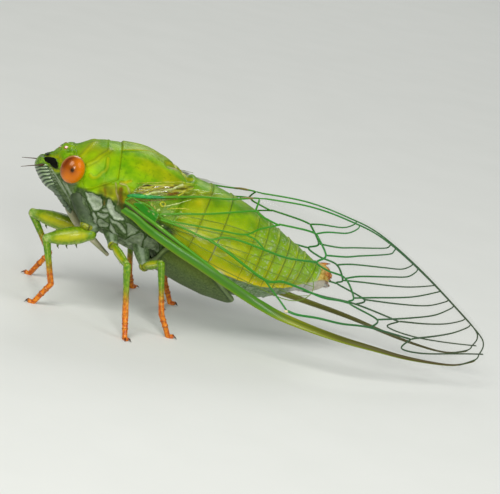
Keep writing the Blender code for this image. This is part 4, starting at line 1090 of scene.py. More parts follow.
hindLow = ((12.6, -0.6), (15.0, -1.6), (19.0, -2.2), (24.0, -2.6), (28.5, -2.4), (30.6, -0.9), (30.5, 0.0))
hindHigh = ((12.6, 0.9), (16.0, 2.0), (20.0, 2.7), (24.0, 2.7), (27.5, 2.0), (30.0, 0.8), (30.5, 0.0))
knots = {  # where veins meet or bend
    "root": (8.9, 0.0), "arch": (9.8, 1.1), "f1": (10.4, 0.97), "f2": (11.5, 0.97), "clav1": (10.9, 1.6),
    "clav2": (13.7, 2.7), "clav3": (16.2, 3.6), "clav4": (18.9, 4.3), "claspEnd": (21.2, 5.1),
    "clavTip": (22.0, 5.3), "A": (21.8, 4.2), "fan": (12.8, 0.6), "pc1": (14.9, 1.5), "pc2": (17.1, 2.3),
    "pc3": (20.0, 3.5), "A2": (22.5, 4.0), "B": (24.4, 3.8), "B2": (24.7, 3.9), "B3": (27.4, 4.2),
    "J1": (28.6, 4.2), "J1a": (29.7, 4.7), "J1b": (31.7, 5.3), "J1e": (32.6, 6.1), "J2": (30.3, 2.6),
    "J2a": (32.3, 3.1), "J2b": (33.7, 3.7), "J2c": (36.5, 4.9), "J2e": (36.9, 5.4), "J3": (29.6, 1.7),
    "J3a": (31.0, 1.3), "J4": (33.0, 1.2), "J4a": (34.4, 1.9), "J4b": (37.4, 2.9), "J4c": (39.1, 3.5),
    "J4e": (39.8, 4.2), "J5": (34.4, -0.2), "J5a": (36.1, 0.4), "J5b": (40.2, 1.8), "J5e": (42.8, 3.2),
    "J6": (34.1, -0.8), "J7": (37.4, -1.3), "J7a": (40.6, -0.2), "J7b": (43.2, 0.9), "J7e": (44.7, 2.1),
    "J8": (36.9, -2.2), "K0": (18.2, 0.2), "K1": (19.6, 0.9), "K2": (21.4, 1.2), "K3": (23.9, 1.2),
    "K4": (26.5, 1.2), "fan2": (13.1, 0.2), "k0a": (15.2, 0.3), "L0": (20.6, -0.3), "L": (25.0, -1.5),
    "L1": (26.8, -1.1), "L2": (29.0, -1.1), "L3": (31.3, -1.2), "L4": (33.1, -0.9), "notch": (28.2, -3.5),
    "M1": (29.3, -3.5), "M2": (31.4, -3.1), "M3": (33.8, -2.8), "J9": (41.6, -2.0), "J9a": (42.0, -1.8),
    "J9b": (44.0, -1.0), "J9c": (45.8, -0.1), "J9e": (47.1, 0.9), "J10": (40.9, -3.1), "J10a": (43.9, -2.8),
    "J10e": (49.3, -1.15), "s1": (13.8, 0.4), "s2": (16.8, 1.0), "s3": (19.1, 1.4), "N": (21.5, 1.9),
    "N1": (22.8, 2.9), "N2": (22.7, 1.8), "R1": (26.1, 6.2), "R2": (28.8, 6.5), "R3": (31.6, 6.5),
    "R4": (34.5, 6.3), "R5": (37.5, 5.5), "R6": (41.7, 3.9), "R7": (46.1, 1.9), "R8": (48.7, 0.6),
    "R9": (49.4, -0.2), "R10": (49.1, -1.8), "R11": (47.6, -2.9),
}
hingeSheet = {
    "low": ((9.3, -0.25), (10.8, -0.45), (12.9, -0.70), (15.6, -0.4)),
    "high": ((9.3, 2.5), (11.14, 3.2), (13.39, 4.08), (15.6, 4.5)),
    "rows": 300,
    "columns": 170,
    "rise": 0.04,  # above the film
}
hingeFields = {  # softness of the edge, closed outline on the sheet
    "cell": (0.08, ((10.15, 0.54), (10.55, 0.85), (11.11, 0.9), (11.5, 0.88), (12.21, 0.72), (12.77, 0.59),
        (12.73, -0.26), (12.17, -0.13), (11.46, 0.06), (10.8, 0.27))),
    "hollow": (0.22, ((9.95, 2.07), (10.17, 2.34), (11.22, 2.91), (12.89, 3.61), (14.0, 3.94), (13.54, 3.58),
        (13.05, 3.17), (11.79, 2.44), (11.22, 1.94), (10.81, 1.72), (10.12, 1.68))),
    "dark": (0.08, ((12.75, 1.66), (12.9, 1.72), (13.0, 1.66), (12.9, 1.58))),
    "membrane": (0.35, ((9.8, 1.65), (9.85, 2.1), (10.3, 2.75), (11.2, 3.12), (13.4, 3.98), (15.0, 4.35),
        (15.4, 4.1), (15.0, 3.5), (14.4, 3.12), (12.73, 2.45), (11.07, 1.8), (10.1, 1.5))),
    "web": (0.4, ((10.9, 1.0), (12.0, 0.8), (12.8, 0.6), (13.7, 0.8), (14.3, 1.5), (14.4, 2.2), (13.9, 2.45),
        (12.5, 2.0), (11.2, 1.45))),
}
hingeLines = {  # rise, then lines with their half widths
    "pale": (0.1, (
        (0.09, ((11.02, 1.79), (11.38, 2.16), (11.79, 2.44), (12.52, 2.85), (13.29, 3.37), (14.01, 3.9))),
        (0.05, ((12.91, -0.38), (13.32, -0.46), (13.73, -0.51))),
        (0.06, ((13.05, 1.48), (13.56, 1.83), (14.08, 2.15))),
        (0.035, ((14.08, 2.15), (14.7, 2.6), (15.25, 2.97))), (0.1, ((12.55, 0.92), (12.68, 1.02))),
        (0.05, ((13.3, 0.72), (13.42, 0.75))), (0.04, ((13.9, 1.27), (14.02, 1.31))),
        (0.04, ((14.68, 1.57), (14.8, 1.61))), (0.06, ((13.5, -0.3), (13.62, -0.27))),
    )),
    "yellow": (0.07, (
        (0.08, ((13.99, 2.88), (14.25, 3.15), (14.4, 3.54))),
        (0.06, ((10.69, 1.7), (11.03, 2.08), (11.47, 2.61), (12.4, 3.18), (13.15, 3.58))),
        (0.05, ((10.09, 1.82), (10.57, 2.16), (10.98, 2.56), (11.6, 2.95))),
        (0.05, ((13.41, 1.4), (14.39, 1.85), (15.4, 2.12))), (0.04, ((14.84, 1.02), (15.5, 1.35))),
        (0.03, ((9.8, 2.5), (11.14, 3.08), (13.39, 3.96), (14.54, 4.22), (15.5, 4.42))),
    )),
    "green": (0.06, (
        (0.05, ((10.98, 0.93), (11.73, 0.63), (12.66, 0.22))), (0.05, ((11.5, 1.3), (12.1, 0.95),
                                                                       (12.5, 0.7))),
    )),
    "rose": (0.04, (
        (0.08, ((11.78, 1.22), (11.9, 1.14))), (0.07, ((12.15, 1.12), (12.28, 1.0))),
        (0.05, ((11.75, 0.49), (11.86, 0.44))), (0.05, ((12.27, 0.47), (12.38, 0.4))),
    )),
    "brown": (-0.06, (
        (0.15, ((11.9, 2.72), (12.6, 3.1), (13.2, 3.42))), (0.13, ((12.98, 2.65), (13.41, 2.9),
                                                                   (13.84, 3.11))),
        (0.04, ((10.1, 0.92), (11.74, 1.59), (13.92, 2.56))), (0.1, ((11.5, 0.95), (12.0, 0.78))),
    )),
    "dark": (-0.05, (
        (0.045, ((10.2, 2.26), (10.55, 2.52), (10.91, 2.73))), (0.05, ((12.76, -0.3), (13.1, -0.37))),
    )),
}
hingeRing = (12.82, 1.62, 0.25)  # middle and radius
hingeStrength = {"membrane": 0.8, "web": 0.5, "rose": 0.4, "crease": 0.0, "crest": 0.0}  # how solid, else 1

foreVeins = (  # half width at the start and at the end, then the knots
    (0.087, 0.081, "root arch clav1 clav2 clav3 clav4 claspEnd clavTip"),
    (0.074, 0.074, "clavTip A"),
    (0.081, 0.081, "fan pc1 pc2 pc3 A A2 B B2 B3 J1"),
    (0.067, 0.067, "fan s1 s2 s3 N N1 B2"),
    (0.067, 0.067, "N N2 K3"),
    (0.081, 0.081, "fan2 k0a K0 K1 K2 K3 K4 J3"),
    (0.107, 0.081, "K0 L0 L L1 L2 L3 L4 J6"),
    (0.074, 0.074, "L notch"),
    (0.101, 0.074, "notch M1 M2 M3 J8 J9"),
    (0.081, 0.074, "J1 J2 J3 J3a J4 J5 J6 J7 J8"),
    (0.074, 0.053, "J1 J1a J1b J1e"),
    (0.074, 0.053, "J2 J2a J2b J2c J2e"),
    (0.074, 0.053, "J4 J4a J4b J4c J4e"),
    (0.074, 0.053, "J5 J5a J5b J5e"),
    (0.074, 0.053, "J7 J7a J7b J7e"),
    (0.074, 0.053, "J9 J9a J9b J9c J9e"),
    (0.067, 0.053, "J9 J10 J10a J10e"),
    (0.067, 0.053, "clavTip R1 R2 R3 R4 R5 R6 R7 R8 R9 J10e R10 R11"),
    (0.05, 0.08, "arch f1 f2 fan"),
)
rimVein = -2
foldEdge = "root arch clav1 clav2 clav3 clav4 claspEnd"
costalBand = {  # the thick front edge
    "root": ((8.2, 0.1), (8.8, -0.18), (9.8, -0.45)),
    "tip": ((49.15, -1.75),),
    "inset": 0.48,  # from the wing's edge
    "radii": (0.13, 0.18, 0.20, 0.21, 0.21, 0.21, 0.20, 0.18, 0.15, 0.11, 0.08, 0.05, 0.03),
    "flat": 2.3,
    "sides": 24,
}
foreStreaks = (  # half widths, form and masks, line
    ((0.05, 0.07, 0.06, 0.05, 0.04, 0.03), {"flat": 1.8, "furrow": 1.0},
     ((8.7, 0.42), (9.95, 0.05), (11.3, -0.33), (12.9, -0.66), (15.5, -1.32), (18.5, -2.0))),
    ((0.10, 0.13, 0.13, 0.11, 0.08, 0.04), {"flat": 1.4},
     ((9.2, 0.35), (9.95, 0.28), (11.3, -0.08), (12.7, -0.38), (14.8, -0.95), (17.6, -1.7), (20.4, -2.5),
      (23.0, -3.4))),
    ((0.10, 0.17, 0.15, 0.10, 0.06), {"teal": 1.0}, ((9.3, 1.0), (9.9, 1.3), (11.0, 1.66), (12.2, 2.1),
                                                     (13.2, 2.5))),
    ((0.04, 0.10, 0.11, 0.05), {"hinge": 0.7, "pale": 0.15}, ((19.9, 4.70), (20.6, 4.93), (21.2, 5.1),
                                                              (21.6, 5.22))),
    ((0.09, 0.13, 0.07), {"hinge": 0.9, "pale": 1.0}, ((27.95, -3.68), (28.15, -3.6), (28.4, -3.52))),
)
hindVeins = (  # as above, with the lines themselves
    (0.035, 0.025, ((13.0, -0.3), (19.0, -1.0), (24.0, -1.5), (28.2, -1.7), (30.3, -1.1))),
    (0.035, 0.025, ((13.0, -0.3), (19.0, 0.2), (24.0, 0.5), (27.5, 0.6), (30.2, 0.5))),
    (0.035, 0.025, ((13.0, -0.3), (17.5, 1.0), (21.5, 1.7), (25.0, 2.1), (27.2, 1.95))),
    (0.04, 0.03, ((19.0, 0.2), (22.0, -0.3), (25.5, -0.5), (30.5, -0.2))),
    (0.04, 0.03, ((24.0, 0.5), (25.0, 1.3), (26.0, 2.1))),
    (0.035, 0.03, ((15.0, -1.45), (19.0, -2.05), (24.0, -2.45), (28.4, -2.25), (30.4, -0.9), (29.9, 0.7),
                   (27.4, 1.9),
                  (24.0, 2.55), (20.0, 2.55), (16.0, 1.85))),
)


def wingDistance(x, z):
    stations, *columns = zip(*wingSides)
    widest, height, half = (np.interp(x, stations, column) for column in columns)
    rise = np.clip((z - widest) / height, 0, 0.97)
    folded = half * np.sqrt(1 - rise ** 2) + 0.3 * bell(x - 9.2, 1.0)
    drop = np.clip(7 - z, 0, None)
    roof = (1.0 + 0.27 * drop + 0.027 * drop ** 2) * (1 - 0.62 * smoothStep(34, 50, x))
    behind = smoothStep(22, 33, x)
    return folded * (1 - behind) + roof * behind


def wingPlace(flat, side, out, deep=0.0):  # flat (x, z) on the fore wing's sheet, moved outwards
    x, z = flat[..., 0], flat[..., 1]
    spot = np.stack([x, side * wingDistance(x, z), z], axis=-1)
    alongX = np.stack([x + 0.05, side * wingDistance(x + 0.05, z), z], axis=-1) - spot
    alongZ = np.stack([x, side * wingDistance(x, z + 0.05), z + 0.05], axis=-1) - spot
    way = np.cross(alongZ, alongX) * side
    way /= np.linalg.norm(way, axis=-1, keepdims=True)
    depth = deep + 1.4 * fade(12.6, 15.5, x) * (deep > 0) + wings["rootDepth"] * fade(7.7, 9.0, x)
    return spot + way * (out - depth)[..., None], way


def alongEdge(points, count):
    fine = np.linspace(0, len(points) - 1, 2000)
    run = lengthsAlong(curveAt(points, fine))
    return curveAt(points, np.interp(np.linspace(0, 1, count), run / run[-1], fine))


def sheetNet(low, high, rows, columns):
    share = np.linspace(0, 1, columns)[None, :, None]
    return alongEdge(low, rows)[:, None] * (1 - share) + alongEdge(high, rows)[:, None] * share


def knotLine(names):
    return np.array([knots[name] for name in names.split()])


def makeFilm(name, low, high, side, deep, lines, look, node):
    flat = sheetNet(low, high, *wings["hindNet" if deep else "foreNet"])
    x, z = flat[..., 0], flat[..., 1]
    spots = np.dstack([flat, x * 0])
    toVein = np.minimum.reduce([awayFromCurve(flat, line, 0.5) for line in lines])
    wave = wings["corrugation"] * np.sin(lumps(spots, 1.4) * 3) * smoothStep(0.1, 0.6, toVein)
    masks = {"vein": bell(toVein, 0.25), "shown": smoothStep(9.3, 10.1, x)}
    if not deep:
        slanted = z - 0.36 * x
        fold = smoothStep(0.0, 0.2, z - lookUp(x, knotLine(foldEdge)))
        fold = fold * smoothStep(9.5, 10.5, x) * fade(16.5, 19.5, x)
        wave = wave + fold * 0.05 * np.sin(slanted * 14 + 2 * lumps(spots, 0.8))
        # streak: stripes over the folded part; their thin crests carry painted glints in the film's look
        streak = 0.5 + 0.5 * np.sin(slanted * 11 + 3 * lumps(spots, 0.7))
        masks.update(fold=fold, root=fade(9.2, 10.6, x), streak=streak)
    heap = Heap()
    heap.addGrid(wingPlace(flat, side, wave, deep)[0], closed=False, flip=side > 0, **masks)
    heap.piece(name, look, "wing", node)


def addVein(heap, line, sizes, side, deep=0.0, flat=1.3, sides=10, **masks):
    spacing = wings["veinSpacing"]
    spots = evenly(line, spacing)
    share = np.linspace(0, 1, len(spots))
    size = curveAt(np.reshape(sizes, (-1, 1)), share * (len(sizes) - 1))[:, 0]
    size = size * np.sqrt(unit(np.minimum(share, 1 - share) * len(spots) * spacing / 0.06 + 0.3))
    place, way = wingPlace(spots, side, 0.0, deep)
    along = np.gradient(place, axis=0)
    along /= np.linalg.norm(along, axis=1, keepdims=True)
    grid = ringsAround(place, np.cross(along, way), way, size, flat, sides)
    masks["tipward"] = smoothStep(10, 48, spots[:, :1])
    heap.addGrid(grid, **{name: np.broadcast_to(value, grid.shape[:2]) for name, value in masks.items()})


def addCostalBand(heap, side):
    low = np.array(foreLow[1:15])
    along = np.gradient(low, axis=0)
    inward = np.stack([-along[:, 1], along[:, 0]], axis=1) / np.linalg.norm(along, axis=1, keepdims=True)
    inner = (low + inward * costalBand["inset"])[1:]
    turn = aroundCircle(costalBand["sides"])
    addVein(
        heap, np.concatenate([costalBand["root"], inner, costalBand["tip"]]), costalBand["radii"], side,
        flat=costalBand["flat"], sides=costalBand["sides"], band=1.0,
        edge=bell(np.cos(turn) * -side - 0.93, 0.22),
        middle=bell(np.cos(turn) * -side + 0.15, 0.35) * (np.sin(turn) > 0))


def makeWing(word, side, filmMaterial, veinMaterial):
    lines = [knotLine(names) for _, _, names in foreVeins]
    rim = evenly(lines[rimVein], 0.1)
    for k, (_, _, names) in enumerate(foreVeins[:rimVein]):
        if names.endswith("e"):  # the vein runs on into the rim vein
            lines[k] = np.concatenate([lines[k], rim[[np.argmin(fromSpot(rim, lines[k][-1]))]]])
    makeFilm("foreWing" + word.title(), foreLow, foreHigh, side, 0.0, lines, filmMaterial, "forewing_" + word)
    heap = Heap()
    for (first, last, _), line in zip(foreVeins, lines):
        addVein(heap, line, (first, last), side)
    addCostalBand(heap, side)
    for sizes, form, line in foreStreaks:
        addVein(heap, line, sizes, side, **form)
    heap.piece("foreVeins" + word.title(), veinMaterial, "wing")

    deep = wings["hindDepth"]
    lines = [line for _, _, line in hindVeins]
    makeFilm("hindWing" + word.title(), hindLow, hindHigh, side, deep, lines, filmMaterial, "hindwing_" + word)
    heap = Heap()
    for first, last, line in hindVeins:
        addVein(heap, line, (first, last), side, deep, hind=1.0)
    heap.piece("hindVeins" + word.title(), veinMaterial, "wing")


def filmLook():
    look = Look("wingFilm", {"Roughness": 0.14, "Specular IOR Level": 1.0})
    gloss = look.node("LayerWeight", {}, {"Blend": 0.35}, "Facing")
    streak = look.mask("streak")
    folds = look.mix(look.between(0.3, 0.7, streak), (104, 96, 10), (150, 156, 20))
    colour = look.paint(look.mix(look.noise(1.5), (96, 108, 84), (128, 126, 96)), (
        # the fold's olive streaks, with painted glints as thin pale lines on their crests
        ("fold", look.mix(look.between(0.88, 0.99, streak), folds, (206, 212, 150))),
        ("root", look.mix(look.noise(0.3), (96, 100, 6), (140, 150, 20))),
    ))
    solid = look.mask("fold") * 0.45 + look.mask("root") * 0.5
    alpha = (0.016 + gloss * 0.12 + look.mask("vein") * 0.05 + solid).clear() * look.mask("shown")
    return look.feed(Base_Color=colour, Alpha=alpha, Normal=look.relief(look.noise(0.8), 0.015))


def veinLook():
    look = Look("wingVein", {"Roughness": 0.38, "Coat Weight": 0.06, "Specular IOR Level": 0.3})
    fine, tipward = look.noise(0.3), look.mask("tipward")
    along = look.ramp(tipward, (
        (0.0, (74, 136, 4)), (0.25, (44, 130, 4)), (0.55, (16, 112, 40)), (0.85, (34, 66, 48)),
        (1.0, (40, 44, 40))))
    band = look.ramp(tipward, (
        (0.0, (70, 126, 0)), (0.40, (64, 118, 0)), (0.5, (124, 132, 8)), (0.7, (84, 84, 6)),
        (1.0, (60, 56, 18))))
    band = look.paint(band, (
        ("middle", look.mix(tipward, (34, 104, 0), (80, 60, 20)), 0.8),
        ("edge", (140, 160, 20), 0.55),
    ))
    paleHinge = look.mix(fine, (206, 200, 120), (226, 206, 190))
    colour = look.paint(look.mix(fine * 0.2, along, (90, 150, 20)), (
        ("band", band),
        ("hinge", look.mix(look.mask("pale"), (120, 66, 10), paleHinge)),
        ("furrow", look.mix(fine, (34, 40, 0), (64, 70, 2))),
        ("teal", look.mix(look.between(0.35, 0.65, fine), (10, 120, 50), (50, 160, 60))),
        ("hind", (104, 134, 12), 0.9),
    ))
    return look.feed(Base_Color=colour, Normal=look.relief(look.noise(0.4), 0.01))


def hingeMasks():
    flat = sheetNet(hingeSheet["low"], hingeSheet["high"], hingeSheet["rows"], hingeSheet["columns"])
    spots = np.dstack([flat, flat[..., 0] * 0])
    warped = flat + 0.03 * np.stack([lumps(spots, 0.25), lumps(spots + 9, 0.25)], axis=2)
    masks = {}
    for name, (soft, outline) in hingeFields.items():
        masks[name] = smoothStep(-0.06, soft, outlineDepth(warped, outline))
    folded = lumps((spots + 0.37 * spots[..., [1, 0, 2]] * (0, -1, 0)) * (0.5, 2.6, 1), 0.34)
    height = (
        0.03 * masks["cell"] - 0.05 * masks["hollow"] + 0.07 * masks["membrane"] * folded + hingeSheet["rise"])
    # painted shade in the membrane's creases and painted highlights on its crests
    masks["crease"] = masks["membrane"] * smoothStep(-0.1, -0.5, folded)
    masks["crest"] = masks["membrane"] * smoothStep(0.25, 0.6, folded)
    uneven = 1 + 0.45 * lumps(spots + 3, 0.35)
    for name, (rise, lines) in hingeLines.items():
        found = [bell(awayFromCurve(warped, line, 0.12), half * uneven) for half, line in lines]
        found = np.maximum.reduce(found)
        height = height + rise * found
        masks[name] = np.maximum(masks.get(name, 0.0), found)
    x, z, radius = hingeRing
    ring = bell(np.hypot(warped[..., 0] - x, (warped[..., 1] - z) * 1.25) - radius, 0.08)
    masks["yellow"] = np.maximum(masks["yellow"], ring)
    height = height + 0.10 * ring
    masks["solid"] = unit(sum(
        hingeStrength.get(name, 1.0) * smoothStep(0.0, 0.8, value) for name, value in masks.items()))
    return flat, masks, height


def makeHinge(word, side, marks, look):
    flat, masks, height = marks
    heap = Heap()
    heap.addGrid(wingPlace(flat, side, height)[0], closed=False, flip=side > 0, **masks)
    heap.piece("wingHinge" + word.title(), look, "wing")


def hingeLook():
    look = Look("wingHinge", {"Roughness": 0.3, "Specular IOR Level": 0.35})
    fine = look.mottle(0.3, 0.15)
    colour = look.paint(look.mix(fine, (96, 132, 4), (120, 156, 10)), (
        ("membrane", look.mix(fine, (96, 100, 4), (142, 140, 14))),
        ("hollow", (74, 62, 6), 0.6),
        # painted shade in the creases and painted highlights on the crests
        ("crease", (50, 44, 2), 0.7),
        ("crest", (176, 180, 60), 0.7),
        ("cell", look.mix(look.noise(0.5), (16, 92, 0), (40, 130, 0))),
        ("brown", look.mix(fine, (56, 24, 0), (120, 74, 14))),
        ("green", (50, 130, 4)),
        ("yellow", look.mix(fine, (136, 140, 10), (190, 184, 50))),
        ("rose", (176, 150, 90), 0.55),
        ("pale", look.mix(fine, (150, 170, 70), (206, 214, 160))),
        ("dark", (22, 20, 4)),
    ))
    return look.feed(
        Base_Color=colour, Alpha=look.mask("solid").clear(), Normal=look.relief(look.noise(0.1), 0.01))


hingeMaterial, hingeMarks = hingeLook(), hingeMasks()
filmMaterial, veinMaterial = filmLook(), veinLook()
for word, side in bothSides:
    makeWing(word, side, filmMaterial, veinMaterial)
    makeHinge(word, side, hingeMarks, hingeMaterial)
print("wings")

legs = {
    "joints": {  # the hip in the body's axes; the hip's end, knee, ankle and toe above the floor
        "front_left": ((5.2, -3.45, -1.0), (6.85, -3.5, 8.85), (2.60, -4.0, 7.00), (4.00, -3.8, 2.40),
                       (2.30, -3.5, 0.0)),
        "middle_left": ((8.8, -2.7, -2.2), (9.20, -4.0, 7.70), (10.8, -7.3, 6.90), (11.7, -8.4, 1.90),
                        (12.2, -9.5, 0.0)),
        "hind_left": ((12.5, -2.7, -3.2), (12.7, -4.1, 6.30), (14.1, -6.3, 7.50), (15.3, -6.0, 2.30),
                      (16.8, -5.6, 0.0)),
        "front_right": ((5.2, 3.45, -1.0), (6.55, 2.9, 7.40), (0.80, 5.0, 6.90), (3.40, 5.4, 2.90),
                        (1.50, 6.2, 0.0)),
        "middle_right": ((8.8, 2.7, -2.2), (9.10, 3.3, 7.10), (11.3, 7.1, 6.40), (12.1, 8.1, 1.90),
                         (13.0, 9.3, 0.0)),
        "hind_right": ((12.5, 2.7, -3.2), (12.6, 3.3, 5.70), (14.6, 5.7, 6.90), (15.8, 5.9, 2.30),
                       (17.2, 6.0, 0.0)),
    },
    "hips": {"front": (1.0, 1.02, 0.95, 0.76), "middle": (0.85, 0.75, 0.50), "hind": (0.85, 0.75, 0.50)},
    "hipRims": {"front": 0.15, "middle": 0.7, "hind": 0.7},
    "thighs": {
        "front": (0.66, 0.90, 0.82, 0.46), "middle": (0.36, 0.48, 0.45, 0.36),
        "hind": (0.36, 0.48, 0.45, 0.36)},
    "shins": {"front": (0.42, 0.33, 0.32), "middle": (0.38, 0.30, 0.32), "hind": (0.38, 0.30, 0.32)},
    "frontRing": (-0.62, -0.05, 0.24),
    "frontDrop": (0.0, -0.1, -0.55),
    "toes": (0.30, 0.27, 0.26),
    "toeLift": 0.12,
    "soleLength": 0.6,
    "hairs": 44,  # on each piece of a leg
    "thighSpines": ((0.30, 0.60), (0.52, 0.55), (0.72, 0.42)),  # place along the thigh, length
    "shinSpines": ((0.45, 0.45), (0.65, 0.45), (0.85, 0.45)),
    "clawLength": 0.60,
}


def keels(share, turn):  # four long ridges along a limb
    return np.maximum(0, np.cos(4 * turn + 0.8)) ** 4


def makeHip(name, pair, title, hip, hipEnd, look):
    def rim(share, turn):
        return bell(share - 0.93, 0.05) + legs["hipRims"][pair] * bell(np.abs(np.cos(turn)) - 1, 0.05)

    # on the front hips a painted shadow darkens the upper part, under the head
    heap = Heap()
    path = (hip, hip * 0.6 + hipEnd * 0.4, hip * 0.25 + hipEnd * 0.75, hipEnd)
    addLimb(
        heap, path, legs["hips"][pair], fromFloor, sides=56, spacing=0.06, flat=0.85, up=(1, 0, 0.4),
        masks={"rim": rim, "shade": lambda share, turn: fade(0.25, 0.9, share) * (pair == "front")},
        bumps=lambda grid, share, turn: 0.05 * lumps(grid, 0.5) + 0.012 * lumps(grid, 0.12))
    heap.piece("hip" + title, look, "powdery_underside", "coxa_" + name)


def makeThigh(name, pair, title, hipEnd, knee, look):
    front = pair == "front"
    size = legs["thighs"][pair][0]
    heap = Heap()
    joint = {"joint": 1.0, "seam": lambda share, turn: bell(share - 0.8, 0.07)}
    if front:  # a broad ring under the hip, and the thigh hangs from its end
        ring = hipEnd + np.array(legs["frontRing"])
        addLimb(
            heap, (ring - (0.40, 0, -0.02), ring, ring + (0.40, 0, -0.03)), (0.42, 0.50, 0.45), fromFloor,
            sides=48, spacing=0.03, flat=1.7, masks=joint,
            bumps=lambda grid, share, turn: 0.03 * lumps(grid, 0.3) - 0.04 * bell(share - 0.8, 0.05))
        hipEnd = hipEnd + np.array(legs["frontDrop"])
    way = (knee - hipEnd) / np.linalg.norm(knee - hipEnd)
    if not front:
        addLimb(
            heap, (hipEnd - way * 0.28, hipEnd, hipEnd + way * 0.30), (size * 1.25, size * 1.55, size * 1.05),
            fromFloor, sides=40, spacing=0.04, masks=joint,
            bumps=lambda grid, share, turn: 0.03 * lumps(grid, 0.3))

    def pale(share, turn):
        ends = 0.7 * bell(share - 0.97, 0.05)
        if front:
            return ends + 0.55 * bell(np.sin(turn) + 0.85, 0.25)
        return 0.8 * smoothStep(0.5, 1, keels(share, turn)) + ends

    def middle(share, turn):
        return bell(np.sin(turn) - 0.15, 0.5) * smoothStep(0.02, 0.2, share) * fade(0.7, 0.95, share)

    def bumps(grid, share, turn):
        ridged = 0.02 * lumps(grid, 0.4) + (0.012 if front else 0.045) * keels(share, turn)
        return ridged + 0.02 * lumps(grid, 0.12) * smoothStep(-0.4, -0.8, np.sin(turn)) if front else ridged

    start = hipEnd + way * (0.0 if front else 0.25)
    path = (start, *(hipEnd + (knee - hipEnd) * share for share in (0.35, 0.7)), knee)
    grid = addLimb(
        heap, path, legs["thighs"][pair], fromFloor, sides=48, spacing=0.07, flat=1.0 if front else 0.8,
        masks={"pale": pale, "middle": middle}, bumps=bumps)
    addHairs(heap, grid, legs["hairs"], 0.28, fromFloor, hair=1.0)
    for share, long in legs["thighSpines"] if front else ():
        root = hipEnd + (knee - hipEnd) * share - (0, 0, 0.45)
        path = (root, root + (0.05, 0, -0.25 - long / 2), root + (0.20, 0, -0.30 - long))
        addLimb(heap, path, (0.20, 0.12, 0.02), fromFloor, sides=14, spacing=0.05,
                masks={"spine": lambda share, turn: share, "pale": 0.4})
    heap.piece("thigh" + title, look, "leg", "femur_" + name)


def makeShin(name, pair, title, knee, ankle, toe, look):
    heap = Heap()
    path = (knee, knee * 0.93 + ankle * 0.07, (knee + ankle) / 2, ankle * 0.9 + knee * 0.1, ankle)
    grid = addLimb(
        heap, path, legs["shins"][pair], fromFloor, sides=36, spacing=0.06,
        masks={
            "along": lambda share, turn: share,
            "pale": lambda share, turn: 0.5 * smoothStep(0.5, 1, keels(share, turn))},
        bumps=lambda grid, share, turn: (
            0.035 * keels(share, turn) * smoothStep(0.05, 0.2, share) + 0.015 * lumps(grid, 0.3)))
    addHairs(heap, grid, legs["hairs"], 0.24, fromFloor, hair=1.0)

    footEnd = np.array((toe[0], toe[1], legs["toeLift"]))
    sole = ankle + (footEnd - ankle) * (1 - legs["soleLength"] / np.linalg.norm(ankle - footEnd))
    sole[2] = legs["toeLift"]
    grid = addLimb(
        heap, (ankle, ankle + (sole - ankle) * 0.6, sole, footEnd), legs["toes"], onFloor,
        sides=28, spacing=0.04,
        masks={
            "along": 1.0,
            "seam": lambda share, turn: 0.5 * bell(share - 0.22, 0.02) + 0.5 * bell(share - 0.45, 0.02)},
        bumps=lambda grid, share, turn: (
            -0.06 * (bell(share - 0.22, 0.03) + bell(share - 0.45, 0.03)) + 0.03 * bell(share - 0.18, 0.04)))
    addHairs(heap, grid, legs["hairs"] // 2, 0.16, onFloor, hair=1.0)
    for k, (share, long) in enumerate(legs["shinSpines"] if pair == "hind" else ()):
        root = knee + (ankle - knee) * share
        aside = np.array((0.8, 0.6 * (-1) ** k, -0.5)) / 1.118
        path = (root + aside * 0.2, root + aside * (long * 0.6 + 0.2), root + aside * (long + 0.25))
        addLimb(heap, path, (0.09, 0.06, 0.015), onFloor, sides=12, spacing=0.05,
                masks={"along": share, "spine": lambda share, turn: share})
    way = (footEnd - sole) / np.linalg.norm(footEnd - sole)
    across = np.array((-way[1], way[0], 0))
    for turn in (-1, 1):  # claws
        root = footEnd - way * 0.12 + across * turn * 0.09
        tip = root + way * legs["clawLength"] + across * turn * 0.26
        tip[2] = 0.05
        addLimb(heap, (root, (root + tip) / 2 + (0, 0, 0.16), tip), (0.11, 0.085, 0.015), onFloor, sides=14,
                spacing=0.03, masks={"along": 1.0, "spine": lambda share, turn: smoothStep(0.2, 0.7, share)})
    heap.piece("shin" + title, look, "leg", "shin_" + name)


def limbLook():
    look = Look("legShell", {
        "Roughness": 0.36, "Coat Weight": 0.18, "Coat Roughness": 0.15, "Specular IOR Level": 0.3})
    fine = look.mottle(0.35, 0.3)
    orange = look.mix(fine, (176, 76, 6), (222, 132, 20))
    colour = look.paint(look.mix(fine, (74, 124, 2), (118, 150, 8)), (("middle", (176, 176, 0), 0.9),))
    colour = look.mix(look.between(0.35, 0.85, look.mask("along")), colour, orange)
    colour = look.paint(colour, (
        ("joint", look.mix(fine, (104, 118, 4), (140, 146, 14))),
        ("pale", look.mix(fine, (130, 164, 60), (190, 200, 130))),
        ("seam", (50, 50, 6)),
        ("spine", (30, 14, 4)),
        ("hair", (150, 140, 90)),
    ))
    return look.feed(Base_Color=colour, Normal=look.relief(look.grains(0.10) * 0.6 + look.noise(0.1), 0.012))


def hipLook():
    look = Look("hipShell", {"Roughness": 0.6})
    base = look.mix(look.mottle(0.35, 0.3), (54, 78, 34), (90, 114, 68))
    # painted shadow on the upper part of the front hips
    colour = look.paint(base, (("shade", (38, 54, 22), 0.8),))
    colour = look.mix(look.mask("rim").clear() * 0.7, colour, (140, 156, 132))
    return look.feed(Base_Color=colour, Normal=look.relief(look.grains(0.09) + look.noise(0.1), 0.02))


